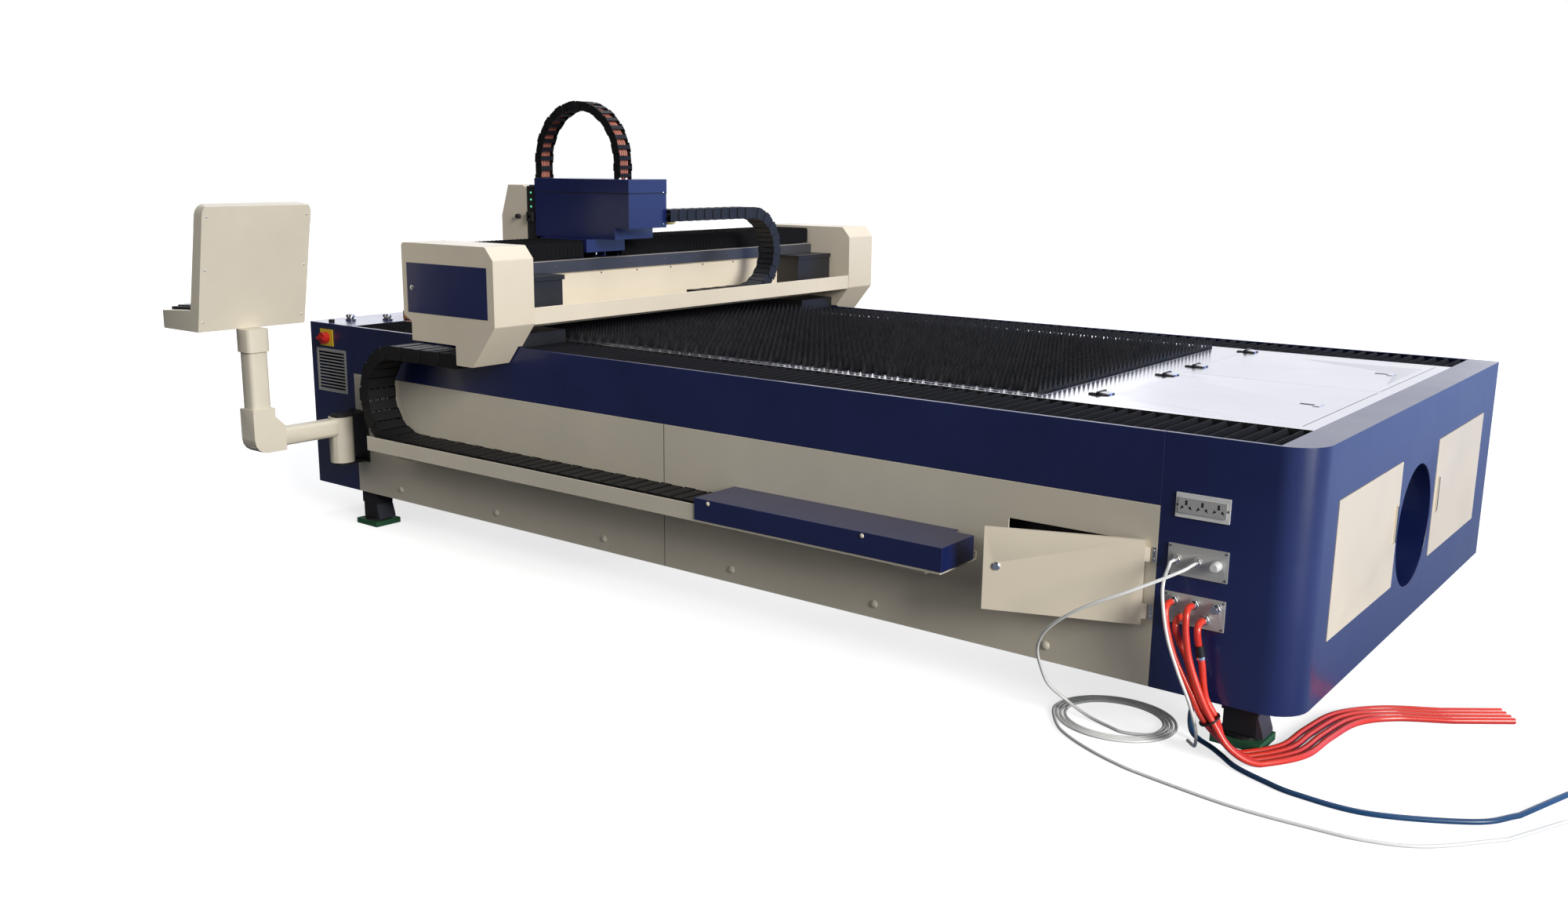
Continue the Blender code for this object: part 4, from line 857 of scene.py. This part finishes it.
for x, z, size in fittings:
    barbed = ((0, size * 0.80), (0.35, size * 0.86), (0.7, size * 0.74), (1, size * 0.76))
    nuts.rod((x, face - 0.001, z), (x, face - 0.0130, z), size, 6)
    nuts.turned((x, face - 0.0130, z), (x, face - 0.0268, z), barbed)
nuts.done("fitting_nuts", STEEL, "bed", 0.0008)
cap = Solid()
stepped = ((0, 0.0155), (0.5, 0.0155), (0.6, 0.0125), (1, 0.0115))
cap.turned((gas_x[2], face - 0.005, gas_z), (gas_x[2], face - 0.034, gas_z), stepped)
cap.done("fitting_cap", WHITE, "bed", 0.001)
sleeve = Solid()
sleeve.rod((2.0826, -1.1975, 0.352), (2.0885, -1.1940, 0.318), 0.0125)
sleeve.done("hose_coupling", BLACK, "bed", 0.001)
ring = Solid()
ring.rod((2.0880, -1.1942, 0.3205), (2.0896, -1.1935, 0.3120), 0.0140)
ring.done("coupling_ring", STEEL, "bed", 0.001)
tie = Solid()
tie.rod((2.1230, -1.1850, 0.1360), (2.1255, -1.1834, 0.1312), 0.0325, 20)
tie.done("hose_tie", BLACK, "bed", 0.001)

# Grips of the end doors.
for word, y in (("near", -0.265), ("far", 0.283)):
    grip = Solid()
    grip.box((BED_X + 0.0075, BED_X + 0.0088), (y - 0.0045, y + 0.0045), (0.509, 0.631))
    grip.done(f"end_door_grip_{word}", BLACK, f"end_door_{word}")

# Side door's lock.
turn = math.radians(21.0)
hinge = Vector((1.884, -1.1513, 0.0))


def on_door(u, out, z):
    """A point on the side door: u from its hinge line, out from its outer face."""
    way = Vector((-math.cos(turn), -math.sin(turn), 0.0))
    away = Vector((math.sin(turn), -math.cos(turn), 0.0))
    return hinge + way * u + away * out + Vector((0, 0, z))


lock = Solid()
barrel = ((0, 0.0130), (0.6, 0.0130), (1, 0.0100))
lock.turned(on_door(0.435, 0.0, 0.500), on_door(0.435, 0.006, 0.500), barrel)
lock.done("side_door_lock", STEEL, "side_door")

# Hinges and latches of the lids in the deck.
PIN_X, PIN_Z = 1.4875, 0.957
for word, ends, latch_y in (("near", (-0.642, -0.086), -0.391), ("far", (0.198, 0.753), 0.474)):
    fixed = Solid()
    swinging = Solid()
    for y in ends:
        for offset in (-0.017, 0.017):
            leaf = (y + offset - 0.010, y + offset + 0.010)
            fixed.box((1.4520, 1.4840), leaf, (BED_TOP + 0.0003, BED_TOP + 0.0050))
            swinging.box((1.4910, 1.5230), leaf, (BED_TOP + 0.0006, BED_TOP + 0.0050))
        for knuckle in ((y - 0.030, y - 0.011), (y + 0.011, y + 0.030)):
            fixed.rod(*((PIN_X, end, PIN_Z) for end in knuckle), 0.0068, 12)
            fixed.box((1.4800, PIN_X), knuckle, (BED_TOP + 0.0003, PIN_Z))
        swinging.rod((PIN_X, y - 0.0105, PIN_Z), (PIN_X, y + 0.0105, PIN_Z), 0.0068, 12)
    swinging.box((2.060, 2.112), (latch_y - 0.0095, latch_y + 0.0095), (BED_TOP - 0.0012, BED_TOP + 0.0012))
    fixed.done(f"lid_hinges_{word}", BLACK, "bed", 0.0006)
    swinging.done(f"lid_fittings_{word}", BLACK, f"deck_lid_{word}", 0.0006)

# Recess behind the side door, its black walls painted shade that hides the bright floor under the bed; valves
# in it, and the leaves of the door's hinges.
recess_shade = Solid()
recess_shade.box((1.4000, 1.8930), (-1.0600, -1.0560), (0.3450, 0.6350))
for x in ((1.4000, 1.4040), (1.8890, 1.8930)):
    recess_shade.box(x, (-1.1318, -1.0600), (0.3450, 0.6350))
for z in ((0.3450, 0.3490), (0.6310, 0.6350)):
    recess_shade.box((1.4000, 1.8930), (-1.1318, -1.0600), z)
recess_shade.done("hatch_recess_painted_shade", BLACK, "bed")
valves = Solid()
collared = ((0, 0.020), (0.4, 0.020), (0.45, 0.013), (1, 0.013))
for x in (1.520, 1.640, 1.760):
    valves.turned((x, -1.0600, 0.520), (x, -1.0980, 0.520), collared)
valves.done("hatch_valves", HOSE_RED, "bed", 0.001)
leaves = Solid()
for z in (0.379, 0.556):
    leaves.box((1.8995, 1.9120), (-1.1385, -1.1358), (z, z + 0.045))
    for rise in (0.010, 0.035):
        leaves.dome((1.9060, -1.1385, z + rise), (1.9060, -1.1405, z + rise), 0.0030, 12)
leaves.done("side_door_hinge_leaves", STEEL, "bed", 0.0004)

# Gantry: rail cover, ledge lids, locks and screws.
cover = Solid()
strip = [(-1.0279, 1.226), (-1.0240, 1.226), (-1.0240, 1.276)]
strip += [(-1.0360, 1.2840), (-1.0400, 1.2840), (-1.0279, 1.276)]
cover.prism("XZ", strip, -1.119, 1.119)
cover.done("rail_cover", RAIL, "gantry", 0.0008)
lids = Solid()
for y in ((-1.1185, -0.834), (0.834, 1.1185)):
    lids.box((-1.0275, -0.892), y, (1.2243, 1.2320))
    lids.box((-0.8960, -0.892), y, (1.2120, 1.2243))
lids.done("ledge_lids", BLACK, "gantry", 0.001)
shoes = Solid()
for side in (-1, 1):
    shoes.box((-1.2628, -0.8792), sorted((side * 0.8492, side * 1.1148)), (0.9292, 1.0002))
    shoes.box((-1.2526, -0.8894), sorted((side * 1.1100, side * 1.1205)), (0.9595, 0.9998))
shoes.done("gantry_shoe_covers", BLACK, "gantry")
screws = Solid()
y = -0.760
while y < 1.0:
    screws.dome((-1.0240, y, 1.252), (-1.0205, y, 1.252), 0.0065, 12)
    screws.dome((-1.0400, y + 0.06, 1.212), (-1.0370, y + 0.06, 1.212), 0.0045, 12)
    screws.dome((-0.800, y + 0.03, 1.0600), (-0.800, y + 0.03, 1.0628), 0.0055, 12)
    y += 0.235
screws.done("beam_screws", RAIL, "gantry")
barrel = ((0, 0.0120), (0.6, 0.0120), (1, 0.0085))
for side, word in ((-1, "near"), (1, "far")):
    lock = Solid()
    lock.turned((-1.283, side * 1.3353, 1.186), (-1.283, side * 1.3400, 1.186), barrel)
    lock.done(f"housing_lock_{word}", STEEL, f"housing_door_{word}")

# Carriage: rail blocks, box lid, connectors.
blocks = Solid()
for x in ((-1.282, -1.230), (-1.118, -1.066)):
    for y in ((-0.552, -0.474), (-0.411, -0.333)):
        blocks.box(x, y, (1.2756, 1.3055))
blocks.done("rail_blocks", STEEL, "carriage", 0.0015)
lid = Solid()
lid.box((-1.4160, -0.8140), (-0.5160, -0.2690), (1.5690, 1.6288))
lid.done("head_box_lid", NAVY, "carriage", 0.0012)
gap = Solid()
gap.box((-1.4156, -0.8144), (-0.5156, -0.2694), (1.5655, 1.5690))
gap.done("head_box_seam", BLACK, "carriage")
screws = Solid()
for x in (-0.8810, -0.8450):
    screws.dome((x, -0.500, 1.6288), (x, -0.500, 1.6360), 0.0070, 12)
for z in (1.400, 1.540):
    screws.dome((-0.8150, -0.290, z + 0.03), (-0.8125, -0.290, z + 0.03), 0.004, 12)
screws.done("head_box_screws", STEEL, "carriage")
strip = Solid()
strip.box((-1.4790, -1.4165), (-0.5062, -0.4955), (1.300, 1.592))
strip.done("head_strip", BLACK, "z_slide", 0.001)
lamps = Solid()
for z in (1.562, 1.530, 1.498):
    lamps.dome((-1.452, -0.5062, z), (-1.452, -0.5085, z), 0.0050, 12)
lamps.done("head_lamps", LAMP, "z_slide")
knob = Solid()
knob.rod((-1.535, -0.505, 1.452), (-1.535, -0.524, 1.452), 0.011)
knob.rod((-1.452, -0.506, 1.452), (-1.452, -0.522, 1.452), 0.009)
knob.box((-1.470, -1.430), (-0.522, -0.506), (1.430, 1.474))
knob.done("head_knobs", BLACK, "z_slide", 0.0015)
clamp = Solid()
clamp.box((-0.8860, -0.7940), (-0.2680, -0.2300), (1.4330, 1.4390))
clamp.box((-0.8700, -0.8100), (-0.2660, -0.2260), (1.4270, 1.4345))
clamp.done("y_chain_clamp", BRASS, "carriage", 0.001)

# Feet.
pads = Solid()
blocks = Solid()
plates = Solid()
for x, y in ((-1.980, 1.060), (2.150, 0.960), (-0.640, 0.560), (0.660, 0.560)):
    for middle in (-y, y):
        pads.box((x - 0.076, x + 0.076), (middle - 0.070, middle + 0.070), (0.0, 0.026))
        block = (middle - 0.044, middle + 0.044)
        blocks.box((x - 0.050, x + 0.050), block, (0.034, 0.110))
        wedge = [(x + 0.050, 0.034), (x + 0.074, 0.034), (x + 0.074, 0.046)]
        wedge += [(x + 0.055, 0.104), (x + 0.050, 0.104)]
        plates.prism("XZ", wedge, *block)
pads.done("foot_pads", GREEN, "bed", 0.002)
blocks.done("foot_blocks", BLACK, "bed", 0.004)
plates.done("foot_wedges", RAIL, "bed", 0.001)

# Console: screen, keys and screws.
face_low = Vector((-2.0587, 1.130))
face_high = Vector((-1.9680, 1.450))
slope = (face_high - face_low).normalized()
away = Vector((-slope.y, slope.x))
screen = Solid()
corners = [face_low + away * 0.004 + slope * 0.002, face_high + away * 0.004 - slope * 0.002]
corners += [corners[1] - away * 0.0035, corners[0] - away * 0.0035]
outline = [tuple(c + Vector((0.0065, 0))) for c in corners]
screen.prism("XZ", outline, -1.848, -1.439)
screen.done("screen_panel", GLASS, "console_head", 0.001)
keys = Solid()
for row in range(5):
    for column in range(15):
        x = -2.262 + row * 0.034
        y = -1.838 + column * 0.0265
        z = 1.0795 + (x + 2.285) * 0.0488
        keys.box((x, x + 0.027), (y, y + 0.0215), (z, z + 0.0065))
keys.done("keyboard_keys", RAIL, "console_head", 0.002)
screws = Solid()
for y in (-1.880, -1.407):
    for share in (0.08, 0.5, 0.92):
        x = -2.000 + 0.105 * share
        z = 0.990 + 0.525 * share
        screws.dome((x - 0.001, y, z), (x + 0.002, y, z - 0.0004), 0.0045, 12)
screws.done("console_screws", STEEL, "console_head")

# Studio.
FLOOR_REACH = 30.0
ground = bmesh.new()
bmesh.ops.create_grid(ground, x_segments=1, y_segments=1, size=FLOOR_REACH)
plane = bpy.data.meshes.new("floor")
ground.to_mesh(plane)
ground.free()
floor_piece = bpy.data.objects.new("studio_floor", plane)
scene.collection.objects.link(floor_piece)
floor_piece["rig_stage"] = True


def either(tree, chooser, when_off, when_on):
    """A value or link that a Light Path output switches between two."""
    mix = node(tree, "ShaderNodeMix")
    tree.links.new(chooser, mix.inputs[0])
    for socket, value in ((mix.inputs[2], when_off), (mix.inputs[3], when_on)):
        if isinstance(value, float):
            socket.default_value = value
        else:
            tree.links.new(value, socket)
    return mix.outputs[0]


def ramp(tree, value, start, end, low, high):
    """A smooth step from low to high as the value goes from start to end."""
    step = node(tree, "ShaderNodeMapRange", interpolation_type="SMOOTHSTEP")
    for word, number in (("From Min", start), ("From Max", end), ("To Min", low), ("To Max", high)):
        step.inputs[word].default_value = number
    tree.links.new(value, step.inputs["Value"])
    return step.outputs["Result"]


# The floor is white to the camera with a faint shadow, and a dim workshop floor to everything else.
pale = bpy.data.materials.new("studio_floor")
pale.use_nodes = True
tree = pale.node_tree
seen = tree.nodes["Principled BSDF"]
seen.inputs["Roughness"].default_value = 0.9
seen.inputs["Specular IOR Level"].default_value = 0.0
path = node(tree, "ShaderNodeLightPath")
where = node(tree, "ShaderNodeTexCoord")
parts = node(tree, "ShaderNodeSeparateXYZ")
tree.links.new(where.outputs["Object"], parts.inputs["Vector"])
reach = node(tree, "ShaderNodeVectorMath", operation="LENGTH")
tree.links.new(where.outputs["Object"], reach.inputs[0])
white = ramp(tree, reach.outputs["Value"], 3.0, 7.0, 0.74, 1.0)
mirrored = ramp(tree, parts.outputs["X"], 1.2, 4.4, 0.03, 1.05)
direct = either(tree, path.outputs["Is Camera Ray"], 0.0, white)
shown = either(tree, path.outputs["Is Glossy Ray"], direct, mirrored)
tree.links.new(shown, seen.inputs["Emission Strength"])
cast = node(tree, "ShaderNodeMix", data_type="RGBA")
cast.inputs[6].default_value = (0.36, 0.52, 1.0, 1.0)
cast.inputs[7].default_value = (1.0, 1.0, 1.0, 1.0)
tree.links.new(path.outputs["Is Camera Ray"], cast.inputs[0])
tree.links.new(cast.outputs[2], seen.inputs["Emission Color"])
tone = node(tree, "ShaderNodeCombineColor")
level_of = either(tree, path.outputs["Is Camera Ray"], 0.14, 0.62)
for word in ("Red", "Green", "Blue"):
    tree.links.new(level_of, tone.inputs[word])
tree.links.new(tone.outputs["Color"], seen.inputs["Base Color"])
plane.materials.append(pale)

# The world is white to the camera; metal and paint mirror a bright hall behind and a dim one in front.
world = bpy.data.worlds.new("studio")
scene.world = world
world.use_nodes = True
tree = world.node_tree
back = tree.nodes["Background"]
path = node(tree, "ShaderNodeLightPath")
where = node(tree, "ShaderNodeTexCoord")
parts = node(tree, "ShaderNodeSeparateXYZ")
tree.links.new(where.outputs["Generated"], parts.inputs["Vector"])
hall = ramp(tree, parts.outputs["Y"], -0.15, 0.45, 0.03, 1.45)
spread_out = node(tree, "ShaderNodeVectorMath", operation="MULTIPLY")
spread_out.inputs[1].default_value = (3.2, 3.2, 0.5)
tree.links.new(where.outputs["Generated"], spread_out.inputs[0])
windows = node(tree, "ShaderNodeTexNoise", Scale=1.6, Detail=1.0)
tree.links.new(spread_out.outputs["Vector"], windows.inputs["Vector"])
panes = ramp(tree, windows.outputs["Fac"], 0.42, 0.60, 0.72, 1.30)
hall_panes = node(tree, "ShaderNodeMath", operation="MULTIPLY")
tree.links.new(hall, hall_panes.inputs[0])
tree.links.new(panes, hall_panes.inputs[1])
around = either(tree, path.outputs["Is Glossy Ray"], 0.13, hall_panes.outputs[0])
tree.links.new(either(tree, path.outputs["Is Camera Ray"], around, 1.0), back.inputs["Strength"])
sky = node(tree, "ShaderNodeMix", data_type="RGBA")
sky.inputs[6].default_value = (0.93, 0.94, 1.0, 1.0)
sky.inputs[7].default_value = (0.36, 0.52, 1.0, 1.0)
tree.links.new(ramp(tree, parts.outputs["X"], 0.05, 0.45, 0.0, 1.0), sky.inputs[0])
tint = node(tree, "ShaderNodeMix", data_type="RGBA")
tree.links.new(sky.outputs[2], tint.inputs[6])
tint.inputs[7].default_value = (1.0, 1.0, 1.0, 1.0)
tree.links.new(path.outputs["Is Camera Ray"], tint.inputs[0])
tree.links.new(tint.outputs[2], back.inputs["Color"])


def lamp(name, at, aim, size, power, colour):
    """Soft rectangular light that faces a point."""
    light = bpy.data.lights.new(name, "AREA")
    light.shape = "RECTANGLE"
    light.size, light.size_y = size
    light.energy = power
    light.color = colour
    holder = bpy.data.objects.new(name, light)
    holder.location = at
    holder.rotation_mode = "QUATERNION"
    holder.rotation_quaternion = (Vector(aim) - Vector(at)).to_track_quat("-Z", "Y")
    scene.collection.objects.link(holder)
    return holder


sun = bpy.data.lights.new("key", "SUN")
sun.energy = 3.20
sun.angle = math.radians(24)
sun.color = (1.0, 0.975, 0.94)
holder = bpy.data.objects.new("key", sun)
holder.rotation_mode = "QUATERNION"
holder.rotation_quaternion = Vector((-1.0, 0.27, -0.42)).to_track_quat("-Z", "Y")
scene.collection.objects.link(holder)
lamp("overhead", (0.0, 0.8, 5.5), (0.0, 0.3, 0.0), (7.0, 4.0), 150, (0.96, 0.98, 1.0))
lamp("front", (-1.5, -7.0, 4.0), (0.2, -0.5, 0.7), (6.0, 3.0), 55, (1.0, 0.97, 0.92))
lamp("side", (6.5, -2.3, 1.2), (2.3, -0.4, 0.5), (2.0, 2.0), 55, (1.0, 0.97, 0.92))
lamp("window", (7.5, -1.6, 0.9), (2.3, -1.0, 0.6), (0.5, 2.4), 26, (0.92, 0.94, 1.0))

scene.view_settings.view_transform = "Standard"

bpy.context.view_layer.update()
sizes = {
    "cad": [list(corner) for corner in cad_bounds],
    "scene": [list(corner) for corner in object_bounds()],
}
